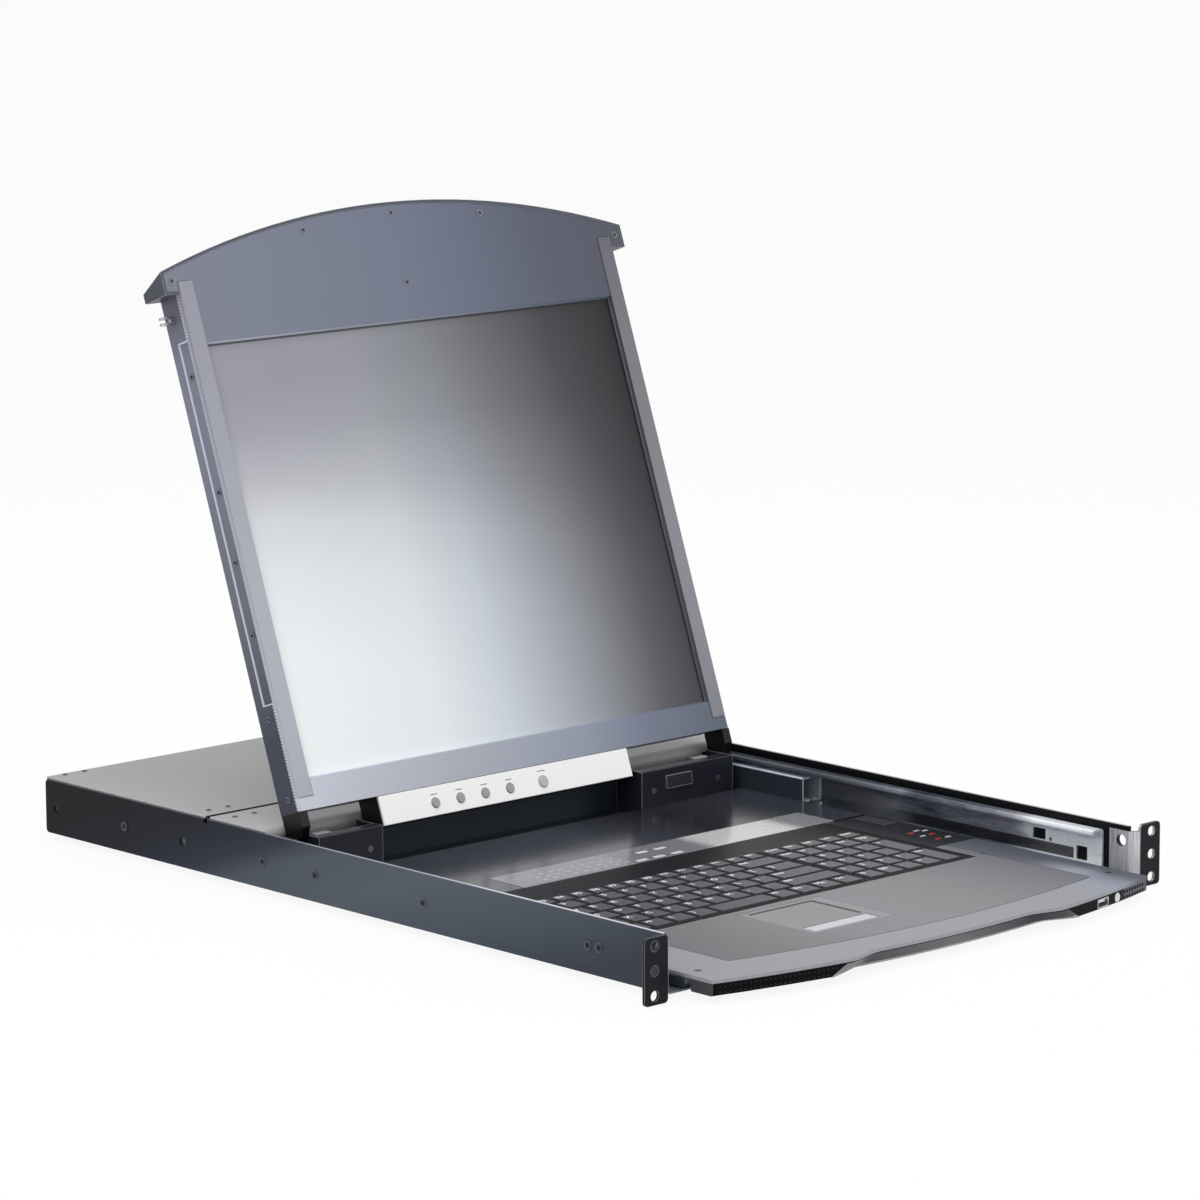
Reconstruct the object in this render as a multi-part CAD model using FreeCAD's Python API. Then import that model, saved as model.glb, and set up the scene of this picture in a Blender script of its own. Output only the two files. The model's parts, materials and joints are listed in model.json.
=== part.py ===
"""Rackmount LCD console drawer: a one-unit chassis, a sliding keyboard tray, a fold-up display.

Millimetres. +X is to the right, +Y to the rear, +Z up. The origin is the centre of the rack-ear
plane, at half the height of the rack unit. The tray is pushed in and the display stands open.
"""
import FreeCAD, Part
import math
import os

V = FreeCAD.Vector
os.makedirs("parts", exist_ok=True)

# ---------------------------------------------------------------- rack interface
PANEL_WIDTH = 482.6          # over both ears
HOLE_INSET = 8.75            # from the end of an ear to its column of rack holes
HOLE_PITCH = 15.875          # between neighbouring holes of one column
HOLE_RADIUS = 3.4
EAR_HEIGHT = 43.6
EAR_SHEET = 2.0
EAR_FOLD = 5.4               # the slanting fold between the plate of an ear and its side flange
EAR_FLANGE_DEPTH = 23.0      # how far the side flange reaches back from the ear plane
EAR_CORNER = 3.0
ACCESS_Y = 12.5              # the hole beside each ear that a screwdriver goes through
ACCESS_Z = 10.0
ACCESS_RADIUS = 4.2

# ---------------------------------------------------------------- fixed chassis
EAR_REACH = 22.1             # how far the ears stand out beyond the side walls
BODY_DEPTH = 640.0           # from the ear plane to the rear panel
BODY_TOP = 20.6
BODY_BOTTOM = -17.6
WALL_SHEET = 1.5
WALL_START = 6.6             # front end of the side walls, behind the ear plane
WALL_CORNER = 3.0
HEM_WIDTH = 3.0
HEM_HEIGHT = 3.0
PAN_SHEET = 1.2
COVER_SHEET = 1.2
COVER_LIFT = 0.4             # the covers' undersides above the side walls
COVER_MARGIN = 1.4           # from the outer face of a side wall to the edge of a cover
COVER_SIDE_GAP = 0.5         # between the hems and what hangs from the covers
COVER_LIP = 2.6              # depth of the turned-down edge of the rear cover
BAY_DEPTH = 180.5            # length of the fixed electronics bay
BAY_MARGIN = 6.5             # from the moving slide members to the bay
BAY_SHEET = 1.2
NOTCH_WIDTH = 4.0

# ---------------------------------------------------------------- ball-bearing slides
SLIDE_HALF_HEIGHT = 15.0
SLIDE_DEPTH = 11.5
SLIDE_SHEET = 1.5
SLIDE_LIP = 3.2
SLIDE_START = 30.0           # front end of the fixed member, behind the ear plane
SLIDE_END_GAP = 8.0          # from its rear end to the rear of the chassis
INNER_LEAD = 78.1            # how far the moving member reaches ahead of the display's hinge
INNER_END_GAP = 20.0
INNER_FLANGE = 8.0
BALL_RADIUS = 1.9
BALL_PITCH = 20.0
BALL_COUNT = 6
BALL_CLEARANCE = 0.3
CAGE_SHEET = 0.6
CAGE_LEAD = 10.5             # how far the cages reach ahead of the moving member
CAGE_END_MARGIN = 4.5

# ---------------------------------------------------------------- keyboard tray
DECK_TOP = -7.0
DECK_SHEET = 2.4
DECK_MARGIN = 2.0            # from the moving slide members to the deck
TRAY_CLEARANCE = 0.8         # between the tray pan and the chassis pan
TRAY_END_GAP = 2.5           # between the tray and the electronics bay
FRONT_REACH = 47.5           # how far the handle stands out in front of the ears
FRONT_RADIUS = 800.0
BEZEL_END = -2.0             # rear ends of the bezel's sides
BEZEL_SHEET = 3.0
BEZEL_ROUND = 1.4
GRIP_WIDTH = 202.0
GRIP_SLOPE = 32.0            # length of the curve at each end of the grip
GRIP_DEPTH = 9.0
GRIP_SPREAD = 14.0           # how much further out the grip reaches at its foot, each side
GRIP_DRAFT = 1.0             # how much deeper it is there
GRIP_OVERRUN = 0.6           # its curved ends run out through the front by this much
LIP_SETBACK = 0.6            # from the edge of the palm rest to the face below it
LIP_GAP = 0.8                # the dark line between the two
LIP_FOOT = 2.0               # the slanting lower edge of the grip

# ---------------------------------------------------------------- keyboard
KEY_GAP = 2.0
ROW_PITCH = 18.8
FUNCTION_DEPTH = 13.0
KEYS_MARGIN = 6.0            # from the left side of the deck to the keys
PAD_MARGIN = 10.8            # from the number pad to the panel beside it
KEYS_FRONT = 100.5
KEY_TOP = -5.6
KEY_HEIGHT = 2.9
KEY_TAPER = 1.4
KEY_TRAVEL = 1.8
PLUNGER_WIDTH = 3.0
PLUNGER_CLEARANCE = 0.2
KEY_WELL_GAP = 0.8
KEYBOARD_FLOOR = 1.2
KEYBOARD_FRONT = 97.0
PAD_COLUMNS = 5
PAD_GAP = 3.5

CATCH_INSET = 11.0           # the holes near the front corners of the palm rest
CATCH_Y = 3.0
CATCH_RADIUS = 2.6

# ---------------------------------------------------------------- touchpad
TOUCH_CENTRE = -37.7
TOUCH_WIDTH = 59.0
TOUCH_FRONT = 39.5
TOUCH_DEPTH = 46.5
TOUCH_SHEET = 1.6
TOUCH_RECESS = 0.6
TOUCH_BUTTON_DEPTH = 12.5
TOUCH_BUTTON_GAP = 3.5
TOUCH_BUTTON_TRAVEL = 0.8
BUTTON_SLIT = 0.4

# ---------------------------------------------------------------- panels behind the keys
STRIP_MARGIN_LEFT = 82.5     # from the sides of the deck to the strip of indicators
STRIP_MARGIN_RIGHT = 30.5
STRIP_FRONT = 243.0
STRIP_DEPTH = 36.0
STRIP_PROUD = 0.4
REAR_DECK_START = 284.0
LOCK_WIDTH = 39.0
LOCK_START = 136.0
LOCK_DEPTH = 104.0

# ---------------------------------------------------------------- hinge
HINGE_SETBACK = 74.9         # from the electronics bay forward to the hinge axis
HINGE_Z = 11.2
PIN_RADIUS = 3.5
PIN_CLEARANCE = 0.05
PIN_LENGTH = 31.0
ARM_WIDTH = 7.0
ARM_OUTSET = 1.5             # the arms' outer faces beyond the sides of the display
ARM_FRONT = 13.5             # how far the arms reach ahead of the axis, under the display
ARM_BACK = 6.0
KNUCKLE_RADIUS = 6.0
HINGE_BLOCK_WIDTH = 14.0
BOX_SHEET = 1.5
BOX_DEPTH = 17.4             # from the face of a hinge box to the axis
BOX_TOP = 18.6
BOX_FLANGE = 8.0
BOX_INSET = 6.0              # the hinge boxes, in from the sides of the display
LEFT_BOX_WIDTH = 56.5
RIGHT_BOX_WIDTH = 90.5
STEP_INSET = 67.0            # the raised step on the face of the right hinge box
STEP_WIDTH = 25.0
STEP_BOTTOM = 4.0
STEP_TOP = 13.0
STEP_PROUD = 2.0
BOX_GAP = 4.5                # between the control bar and the hinge boxes
MIDDLE_COVER_GAP = 12.4      # from the axis to the nose of the middle cover
MIDDLE_COVER_ROLL = 6.0
MIDDLE_COVER_NOSE = 12.0

# ---------------------------------------------------------------- display, measured from the hinge axis
LID_TILT = 19.6              # backwards from upright
LID_MARGIN = 2.5             # the display, in from the sides of the deck
LID_BOTTOM = 21.4
LID_FRONT_GAP = 2.3          # from the ears to the top of the closed display
LID_THICKNESS = 24.0
LID_FACE = 14.7              # how far the front face stands ahead of the axis
LID_SHELL = 2.0
FRAME_SHEET = 3.5
SCREEN_MARGIN = 13.5
SCREEN_TOP_MARGIN = 36.1
SCREEN_BOTTOM = 43.6
PANEL_MARGIN = 6.5
PANEL_THICKNESS = 6.2
PLATE_SHEET = 1.0            # the plates let into the front of the display
PLATE_GAP = 0.3
SIDE_STRIP_WIDTH = 12.4
SIDE_STRIP_BOTTOM = 30.5
SIDE_STRIP_OVER = 8.7        # how far the side strips reach up beside the cap's plate
SIDE_STRIP_PROUD = 0.4
SIDE_SLOT_RISE = 75.6        # from the bottom and the top of the display to its side slots
SIDE_SLOT_FALL = 32.3
SIDE_SLOT_DEPTH = 0.8
CAP_INSET = 5.7              # the ends of the cap, in from the side walls
CAP_SHOULDER = 16.7          # height of the cap at its ends
CAP_RISE = 33.3              # height of the arch above the ends
CAP_SETBACK = 10.0           # how far the back edge of the arch lies below the front edge
CAP_SHELL = 2.4
CAP_RIM = 2.2
CAP_PLATE_DROP = 0.2
CAP_SCREW_RADIUS = 2.5
CAP_SCREW_INSET = 7.7        # from the ends of the cap
CAP_SCREW_RISE = 9.5         # the screws of the cap's plate above the top of the display
CAP_SCREW_SPREAD = 82.0
CAP_SCREW_SPREAD_RISE = 35.7
CAP_SCREW_TOP_RISE = 42.1
CAP_SCREW_FALL = 8.5         # the lowest one, below it
SLOT_SCREWS_RISE = (123.6, 174.6)    # in the side slots, from the bottom of the display
SLOT_SCREWS_FALL = (137.3, 56.3)     # and from its top
SIDE_SCREWS_RISE = (9.6, 65.6)

# ---------------------------------------------------------------- control bar under the screen
BAR_BOTTOM = 0.5
BAR_FACE_SHEET = 1.6
BAR_DEPTH = 21.0
BUTTON_INSET = 49.2          # from the left end of the bar to the first button
BUTTON_SPACING = 23.0
BUTTON_COUNT = 4
BUTTON_RADIUS = 3.6
POWER_BUTTON_GAP = 31.3      # from the last of them to the power button
POWER_BUTTON_RADIUS = 4.2
BUTTON_Z = 9.3
BUTTON_PROUD = 1.0
BUTTON_LENGTH = 7.0
BUTTON_TRAVEL = 0.8
BUTTON_CLEARANCE = 0.25

# ---------------------------------------------------------------- latches of the display
LATCH_Y = -1.0
LATCH_FALL = 15.3            # from the top of the display to the latches
LATCH_LENGTH = 26.0
LATCH_REACH = 11.5
LATCH_HEIGHT = 6.0
LATCH_SHEET = 2.5
LATCH_CLEARANCE = 0.2
LATCH_SLOT = 2.2

# ---------------------------------------------------------------- front controls
USB_INSET = 58.7             # from the right end of the bow
USB_WIDTH = 13.4
USB_HEIGHT = 6.0
USB_LENGTH = 15.0
USB_WALL = 0.6
USB_TONGUE = 1.9
RESET_SPACING = 18.2         # from the socket to the button
RESET_RADIUS = 3.2
RESET_PROUD = 0.8
RESET_LENGTH = 6.0

# ---------------------------------------------------------------- rear connectors
INLET_INSET = 41.7           # from the left wall
INLET_WIDTH = 27.6
INLET_HEIGHT = 20.4
INLET_DEPTH = 22.0
INLET_WALL = 1.8
INLET_PIN_WIDTH = 4.0
INLET_PIN_SHEET = 2.0
SWITCH_SPACING = 38.0        # from the inlet to the switch
SWITCH_WIDTH = 13.6
SWITCH_HEIGHT = 19.0
SWITCH_DEPTH = 15.0
SWITCH_FRAME = 1.4
ROCKER_ANGLE = 9.0
ROCKER_CLEARANCE = 0.35
CONNECTOR_Z = 2.0
PORT_START = 40.0            # from the switch to the first socket
PORT_END = 63.7              # least room between the last socket and the right wall
PORT_SPACING = 36.0
PORT_SHELL_WIDTH = 16.6
PORT_SHELL_HEIGHT = 8.3
PORT_SHELL_DEPTH = 6.0
PORT_FLANGE_WIDTH = 30.8
PORT_FLANGE_HEIGHT = 12.5
PORT_FLANGE_SHEET = 1.0
PORT_BODY_DEPTH = 10.0
JACK_SPACING = 25.0
JACK_RADIUS = 2.4
JACK_LENGTH = 5.0

# ---------------------------------------------------------------- boards and power supply
BOARD_SHEET = 1.6
BOARD_INSET_LEFT = 95.0      # from the sides of the bay to the board
BOARD_INSET_RIGHT = 9.0
BOARD_FRONT_GAP = 22.0
BOARD_STANDOFF = 5.0
BOARD_MARGIN = 8.0
STANDOFF_RADIUS = 3.0
DRIVER_CENTRE_X = -15.0      # the board in the display
DRIVER_WIDTH = 150.0
DRIVER_HEIGHT = 100.0
DRIVER_RISE = 98.6
SUPPLY_WIDTH = 84.0
SUPPLY_DEPTH = 110.0
SUPPLY_HEIGHT = 30.0
SUPPLY_FRONT_GAP = 10.0

# ---------------------------------------------------------------- fasteners
SCREW_RADIUS = 3.0
SMALL_SCREW_RADIUS = 2.0
SMALL_SCREW_HEIGHT = 0.8

# ---------------------------------------------------------------- sizes that follow from those above
HOLE_SPAN = PANEL_WIDTH - 2 * HOLE_INSET
BODY_WIDTH = PANEL_WIDTH - 2 * EAR_REACH
HALF_BODY = BODY_WIDTH / 2
WALL_INNER = HALF_BODY - WALL_SHEET
PAN_TOP = BODY_BOTTOM + PAN_SHEET
COVER_BOTTOM = BODY_TOP + COVER_LIFT
COVER_TOP = COVER_BOTTOM + COVER_SHEET
COVER_HALF = HALF_BODY - COVER_MARGIN
BAY_FRONT = BODY_DEPTH - BAY_DEPTH
PANEL_FRONT = BODY_DEPTH - WALL_SHEET
HINGE_Y = BAY_FRONT - HINGE_SETBACK
INNER_START = HINGE_Y - INNER_LEAD
CAGE_START = INNER_START - CAGE_LEAD
BOX_FRONT = HINGE_Y - BOX_DEPTH
MIDDLE_COVER_START = HINGE_Y + MIDDLE_COVER_GAP
SLIDE_OUTER = WALL_INNER
SLIDE_WEB = SLIDE_OUTER - SLIDE_SHEET
SLIDE_INNER = SLIDE_OUTER - SLIDE_DEPTH
RACE = SLIDE_HALF_HEIGHT - SLIDE_SHEET
BALL_Z = RACE - BALL_CLEARANCE - BALL_RADIUS
INNER_HALF_HEIGHT = BALL_Z - BALL_RADIUS - BALL_CLEARANCE
INNER_WEB = SLIDE_INNER - 0.7
BAY_WIDTH = 2 * (INNER_WEB - BAY_MARGIN)
BALL_X = (SLIDE_WEB + SLIDE_INNER + SLIDE_SHEET) / 2 - 0.4
INNER_END = BODY_DEPTH - INNER_END_GAP
SLIDE_END = BODY_DEPTH - SLIDE_END_GAP
TRAY_BOTTOM = PAN_TOP + TRAY_CLEARANCE
TRAY_FLOOR = TRAY_BOTTOM + PAN_SHEET
TRAY_HALF = INNER_WEB - DECK_MARGIN
HEM_INNER = HALF_BODY - HEM_WIDTH
TRAY_END = BAY_FRONT - TRAY_END_GAP
DECK_UNDER = DECK_TOP - DECK_SHEET
FRONT_CENTRE = FRONT_RADIUS - FRONT_REACH
USB_X = TRAY_HALF - USB_INSET
RESET_X = USB_X + RESET_SPACING
MAIN_UNITS = 14.0
KEY_UNIT = (2 * TRAY_HALF - KEYS_MARGIN - PAD_GAP - PAD_MARGIN - LOCK_WIDTH) / (
    MAIN_UNITS + PAD_COLUMNS)
KEYS_LEFT = KEYS_MARGIN - TRAY_HALF
KEYS_BACK = KEYS_FRONT + 5 * ROW_PITCH + FUNCTION_DEPTH + KEY_GAP
PAD_LEFT = KEYS_LEFT + MAIN_UNITS * KEY_UNIT + PAD_GAP
KEYS_RIGHT = PAD_LEFT + PAD_COLUMNS * KEY_UNIT
KEYBOARD_RIGHT = TRAY_HALF - LOCK_WIDTH - 1.2
STRIP_LEFT = STRIP_MARGIN_LEFT - TRAY_HALF
STRIP_WIDTH = 2 * TRAY_HALF - STRIP_MARGIN_LEFT - STRIP_MARGIN_RIGHT
KEY_BOTTOM = KEY_TOP - KEY_HEIGHT
KEYBOARD_BASE = KEY_BOTTOM - KEY_TRAVEL - 0.4
LID_HALF = TRAY_HALF - LID_MARGIN
LID_WIDTH = 2 * LID_HALF
SCREEN_WIDTH = LID_WIDTH - 2 * SCREEN_MARGIN
CAP_WIDTH = BODY_WIDTH - 2 * CAP_INSET
LID_BACK = LID_THICKNESS - LID_FACE
LID_TOP = HINGE_Y - LID_FRONT_GAP
LID_HEIGHT = LID_TOP - LID_BOTTOM
SCREEN_HEIGHT = LID_TOP - SCREEN_TOP_MARGIN - SCREEN_BOTTOM
LATCH_Z = LID_TOP - LATCH_FALL
SIDE_STRIP_TOP = LID_TOP + SIDE_STRIP_OVER
SIDE_SLOT_BOTTOM = LID_BOTTOM + SIDE_SLOT_RISE
SIDE_SLOT_TOP = LID_TOP - SIDE_SLOT_FALL
GLASS_FACE = FRAME_SHEET - LID_FACE
SEAT_FACE = PLATE_SHEET + CAP_PLATE_DROP - LID_FACE
SCREEN_TOP = SCREEN_BOTTOM + SCREEN_HEIGHT
STRIP_OUTER = LID_HALF - PLATE_GAP
STRIP_INNER = STRIP_OUTER - SIDE_STRIP_WIDTH
ARM_OUTER = LID_HALF + ARM_OUTSET
ARM_INNER = ARM_OUTER - ARM_WIDTH
BOX_OUTER = LID_HALF - BOX_INSET
STEP_LEFT = BOX_OUTER - STEP_INSET
BAR_LEFT = LEFT_BOX_WIDTH + BOX_GAP - BOX_OUTER
BAR_RIGHT = BOX_OUTER - RIGHT_BOX_WIDTH - BOX_GAP
BUTTON_FIRST = BAR_LEFT + BUTTON_INSET
POWER_BUTTON_X = BUTTON_FIRST + (BUTTON_COUNT - 1) * BUTTON_SPACING + POWER_BUTTON_GAP
INLET_X = INLET_INSET - WALL_INNER
SWITCH_X = INLET_X + SWITCH_SPACING
PORT_FIRST = SWITCH_X + PORT_START
PORT_COUNT = 1 + int((WALL_INNER - PORT_END - PORT_FIRST) / PORT_SPACING + 0.001)
BOARD_LEFT = BOARD_INSET_LEFT - BAY_WIDTH / 2
BOARD_RIGHT = BAY_WIDTH / 2 - BOARD_INSET_RIGHT


# ---------------------------------------------------------------- helpers
def block(x0, x1, y0, y1, z0, z1):
    """A box between two corners."""
    return Part.makeBox(x1 - x0, y1 - y0, z1 - z0, V(x0, y0, z0))


def rod(centre, axis, radius, length):
    """A cylinder that starts at a centre and runs along an axis."""
    return Part.makeCylinder(radius, length, V(*centre), V(*axis))


def prism(points, direction):
    """A closed polygon pushed along a direction."""
    corners = [V(*p) for p in points]
    face = Part.Face(Part.makePolygon(corners + corners[:1]))
    return face.extrude(V(*direction))


def outline(edges):
    """A flat face from connected edges."""
    return Part.Face(Part.Wire(edges))


def line(a, b):
    """A straight edge."""
    return Part.makeLine(V(*a), V(*b))


def arc(a, middle, b):
    """An arc through three points."""
    return Part.Arc(V(*a), V(*middle), V(*b)).toShape()


def round_edges(shape, radius, chosen):
    """Fillets the edges that a test on their two ends picks out."""
    edges = []
    for edge in shape.Edges:
        ends = [v.Point for v in edge.Vertexes]
        if len(ends) == 2 and chosen(ends[0], ends[1]):
            edges.append(edge)
    return shape.makeFillet(radius, edges)


def along(axis, a, b):
    """True for an edge that runs along one axis."""
    gap = [abs(a.x - b.x), abs(a.y - b.y), abs(a.z - b.z)]
    return all(g < 1e-6 for i, g in enumerate(gap) if i != axis)


def mirrored(shape):
    """The same shape on the other side of the middle."""
    return shape.mirror(V(0, 0, 0), V(1, 0, 0))


def raised(shape):
    """Turns a shape of the display from the hinge frame to its open place."""
    placed = shape.copy()
    placed.rotate(V(0, 0, 0), V(1, 0, 0), -LID_TILT)
    placed.translate(V(0, HINGE_Y, HINGE_Z))
    return placed


def save(node, *solids):
    """Writes one named part."""
    shape = solids[0] if len(solids) == 1 else Part.makeCompound(list(solids))
    shape.exportStep("parts/" + node + ".step")


def save_pair(node, right):
    """Writes a part for both sides as one group."""
    save(node, right, mirrored(right))


# ---------------------------------------------------------------- chassis
WALL_SCREWS_FRONT = (64.4, 74.8, 233.0, 342.6, 397.9)   # from the ear plane
WALL_SCREWS_REAR = (90.7,)                              # from the rear panel
WALL_HOLES_REAR = ((155.1, 3.2), (11.4, 2.4))


def side_wall():
    """The right side wall: one bent sheet with a hemmed top edge."""
    wall = block(WALL_INNER, HALF_BODY, WALL_START, BODY_DEPTH, BODY_BOTTOM, BODY_TOP)
    hem = block(HEM_INNER, HALF_BODY, WALL_START, BODY_DEPTH, BODY_TOP - HEM_HEIGHT, BODY_TOP)
    wall = wall.fuse(hem).removeSplitter()
    wall = round_edges(wall, 0.9, lambda a, b: along(1, a, b) and a.z > BODY_TOP - 0.1)
    notch = block(HEM_INNER - 1, HALF_BODY + 1, BAY_FRONT - NOTCH_WIDTH / 2,
                  BAY_FRONT + NOTCH_WIDTH / 2, BODY_TOP - HEM_HEIGHT, BODY_TOP + 1)
    wall = wall.cut(notch)
    for back, radius in WALL_HOLES_REAR:
        start = (WALL_INNER - 1, BODY_DEPTH - back, 0.6)
        wall = wall.cut(rod(start, (1, 0, 0), radius, WALL_SHEET + 2))
    start = (WALL_INNER - 1, ACCESS_Y, ACCESS_Z)
    wall = wall.cut(rod(start, (1, 0, 0), ACCESS_RADIUS, WALL_SHEET + 2))
    keep = block(HEM_INNER - 1, HALF_BODY + 1, WALL_START - 1, BODY_DEPTH, BODY_BOTTOM, BODY_TOP)
    keep = round_edges(keep, WALL_CORNER, lambda a, b: along(0, a, b) and a.y > WALL_START)
    return wall.common(keep)


def wall_screws():
    """Low round heads on the outside of the right wall."""
    heads = []
    places = WALL_SCREWS_FRONT + tuple(BODY_DEPTH - back for back in WALL_SCREWS_REAR)
    for y in places:
        heads.append(rod((HALF_BODY, y, 1.0), (1, 0, 0), SCREW_RADIUS, SMALL_SCREW_HEIGHT))
    return heads


def ear():
    """The right rack ear: a sheet folded back twice, with three rack holes."""
    outer = PANEL_WIDTH / 2
    flange = WALL_INNER - EAR_SHEET
    fold = flange + EAR_FOLD
    half = EAR_HEIGHT / 2
    plate = block(fold, outer, 0, EAR_SHEET, -half, half)
    plate = round_edges(plate, EAR_CORNER, lambda a, b: along(1, a, b))
    low = PAN_TOP + 0.4
    high = BODY_TOP - HEM_HEIGHT - 0.4
    offset = EAR_SHEET * math.tan(math.radians(22.5))
    strip = prism([
        (fold + EAR_CORNER, 0, low), (fold, 0, low), (flange, EAR_FOLD, low),
        (flange, EAR_FLANGE_DEPTH, low), (WALL_INNER, EAR_FLANGE_DEPTH, low),
        (WALL_INNER, EAR_FOLD + offset, low), (fold + offset, EAR_SHEET, low),
        (fold + EAR_CORNER, EAR_SHEET, low),
    ], (0, 0, high - low))
    bracket = plate.fuse(strip).removeSplitter()
    for row in (-1, 0, 1):
        centre = (HOLE_SPAN / 2, -1, row * HOLE_PITCH)
        bracket = bracket.cut(rod(centre, (0, 1, 0), HOLE_RADIUS, EAR_SHEET + 2))
    return bracket.cut(rod((flange - 1, ACCESS_Y, ACCESS_Z), (1, 0, 0), ACCESS_RADIUS,
                           EAR_SHEET + 2))


def bottom_pan():
    """The floor of the chassis, with a stiffening bead across its rear third."""
    pan = block(-WALL_INNER, WALL_INNER, EAR_SHEET, PANEL_FRONT, BODY_BOTTOM, PAN_TOP)
    slots = []
    for row in range(2):
        for column in range(9):
            x = (column - 4) * (BAY_WIDTH - 110.0) / 8
            y = BAY_FRONT + 60.0 + 60.0 * row
            slots.append(block(x - 10, x + 10, y - 1.5, y + 1.5, BODY_BOTTOM - 1, PAN_TOP + 1))
    return pan.cut(Part.makeCompound(slots))


def electronics_bay():
    """The bent sheet that closes the electronics in, at the rear between the slides."""
    half = BAY_WIDTH / 2
    shell = block(-half, half, BAY_FRONT, PANEL_FRONT, PAN_TOP, COVER_BOTTOM)
    shell = round_edges(shell, 2.4, lambda a, b: along(2, a, b) and a.y < BAY_FRONT + 0.1)
    inside = block(-half + BAY_SHEET, half - BAY_SHEET, BAY_FRONT + BAY_SHEET,
                   PANEL_FRONT + 1, PAN_TOP - 1, COVER_BOTTOM + 1)
    inside = round_edges(inside, 1.2,
                         lambda a, b: along(2, a, b) and a.y < BAY_FRONT + BAY_SHEET + 0.1)
    return shell.cut(inside)


def rear_cover():
    """The fixed top cover over the electronics bay."""
    top = block(-COVER_HALF, COVER_HALF, BAY_FRONT, BODY_DEPTH, COVER_BOTTOM, COVER_TOP)
    lips = []
    for side in (-1, 1):
        outer = side * (HEM_INNER - COVER_SIDE_GAP)
        inner = side * (HEM_INNER - COVER_SIDE_GAP - COVER_SHEET)
        lips.append(block(min(outer, inner), max(outer, inner), BAY_FRONT, PANEL_FRONT,
                          COVER_BOTTOM - COVER_LIP, COVER_BOTTOM))
    cover = top.fuse(lips).removeSplitter()
    return round_edges(cover, 0.8, lambda a, b: along(1, a, b) and a.z > COVER_TOP - 0.1)


def cover_screws():
    """Screws along the front and rear edges of the rear cover."""
    heads = []
    for y in (BAY_FRONT + 14, BODY_DEPTH - 4):
        for x in (13.0 - COVER_HALF, 30.0 - COVER_HALF, 0.0, COVER_HALF - 30.0,
                  COVER_HALF - 13.0):
            heads.append(rod((x, y, COVER_TOP), (0, 0, 1), SMALL_SCREW_RADIUS, 0.5))
    return heads


def slide_outer():
    """The fixed member of the right slide: a channel with rolled races, open inwards."""
    channel = block(SLIDE_INNER, SLIDE_OUTER, SLIDE_START, SLIDE_END,
                    -SLIDE_HALF_HEIGHT, SLIDE_HALF_HEIGHT)
    channel = round_edges(channel, 2.6, lambda a, b: along(1, a, b))
    inside = block(SLIDE_INNER + SLIDE_SHEET, SLIDE_WEB, SLIDE_START - 1, SLIDE_END + 1,
                   -RACE, RACE)
    inside = round_edges(inside, 1.1, lambda a, b: along(1, a, b))
    mouth = block(SLIDE_INNER - 1, SLIDE_INNER + SLIDE_SHEET + 0.2, SLIDE_START - 1, SLIDE_END + 1,
                  -SLIDE_HALF_HEIGHT + SLIDE_LIP, SLIDE_HALF_HEIGHT - SLIDE_LIP)
    channel = channel.cut(inside).cut(mouth)
    windows = [
        block(SLIDE_WEB - 1, SLIDE_OUTER + 1, SLIDE_START + 51.7, SLIDE_START + 63.7, -1.2, 6.5),
        block(SLIDE_WEB - 1, SLIDE_OUTER + 1, SLIDE_START + 13.3, SLIDE_START + 23.7, -9.8, 0.0),
        rod((SLIDE_WEB - 1, SLIDE_START + 47.2, 0.0), (1, 0, 0), 1.5, SLIDE_SHEET + 2),
    ]
    return channel.cut(Part.makeCompound(windows))


def slide_inner():
    """The moving member of the right slide, which the balls carry between the races."""
    half = INNER_HALF_HEIGHT
    channel = block(INNER_WEB, INNER_WEB + INNER_FLANGE, INNER_START, INNER_END, -half, half)
    channel = round_edges(channel, 1.2,
                          lambda a, b: along(1, a, b) and a.x < INNER_WEB + 0.1)
    inside = block(INNER_WEB + SLIDE_SHEET, INNER_WEB + INNER_FLANGE + 1, INNER_START - 1,
                   INNER_END + 1, -half + SLIDE_SHEET, half - SLIDE_SHEET)
    return channel.cut(inside)


def ball_cage():
    """The cage of the right slide with its two rows of balls."""
    length = CAGE_END_MARGIN * 2 + BALL_PITCH * (BALL_COUNT - 1)
    web_outer = SLIDE_WEB - 0.6
    web_inner = web_outer - CAGE_SHEET
    top = BALL_Z + CAGE_SHEET / 2
    strip = block(BALL_X - BALL_RADIUS - 1.0, web_outer, CAGE_START, CAGE_START + length,
                  -top, top)
    hollow = block(BALL_X - BALL_RADIUS - 2.0, web_inner, CAGE_START - 1,
                   CAGE_START + length + 1, -top + CAGE_SHEET, top - CAGE_SHEET)
    strip = strip.cut(hollow)
    balls = []
    pockets = []
    for i in range(BALL_COUNT):
        y = CAGE_START + CAGE_END_MARGIN + BALL_PITCH * i
        for z in (-BALL_Z, BALL_Z):
            balls.append(Part.makeSphere(BALL_RADIUS, V(BALL_X, y, z)))
            pockets.append(rod((BALL_X, y, z - 1), (0, 0, 1), BALL_RADIUS + 0.1, 2))
    return [strip.cut(Part.makeCompound(pockets))] + balls


def d_shape(width, height, y0, y1):
    """The D outline of a computer connector, pushed along Y."""
    slope = height * 0.18
    points = []
    for x, z in ((-width / 2, height / 2), (width / 2, height / 2),
                 (width / 2 - slope, -height / 2), (-width / 2 + slope, -height / 2)):
        points.append((x, y0, z))
    return prism(points, (0, y1 - y0, 0))


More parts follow.
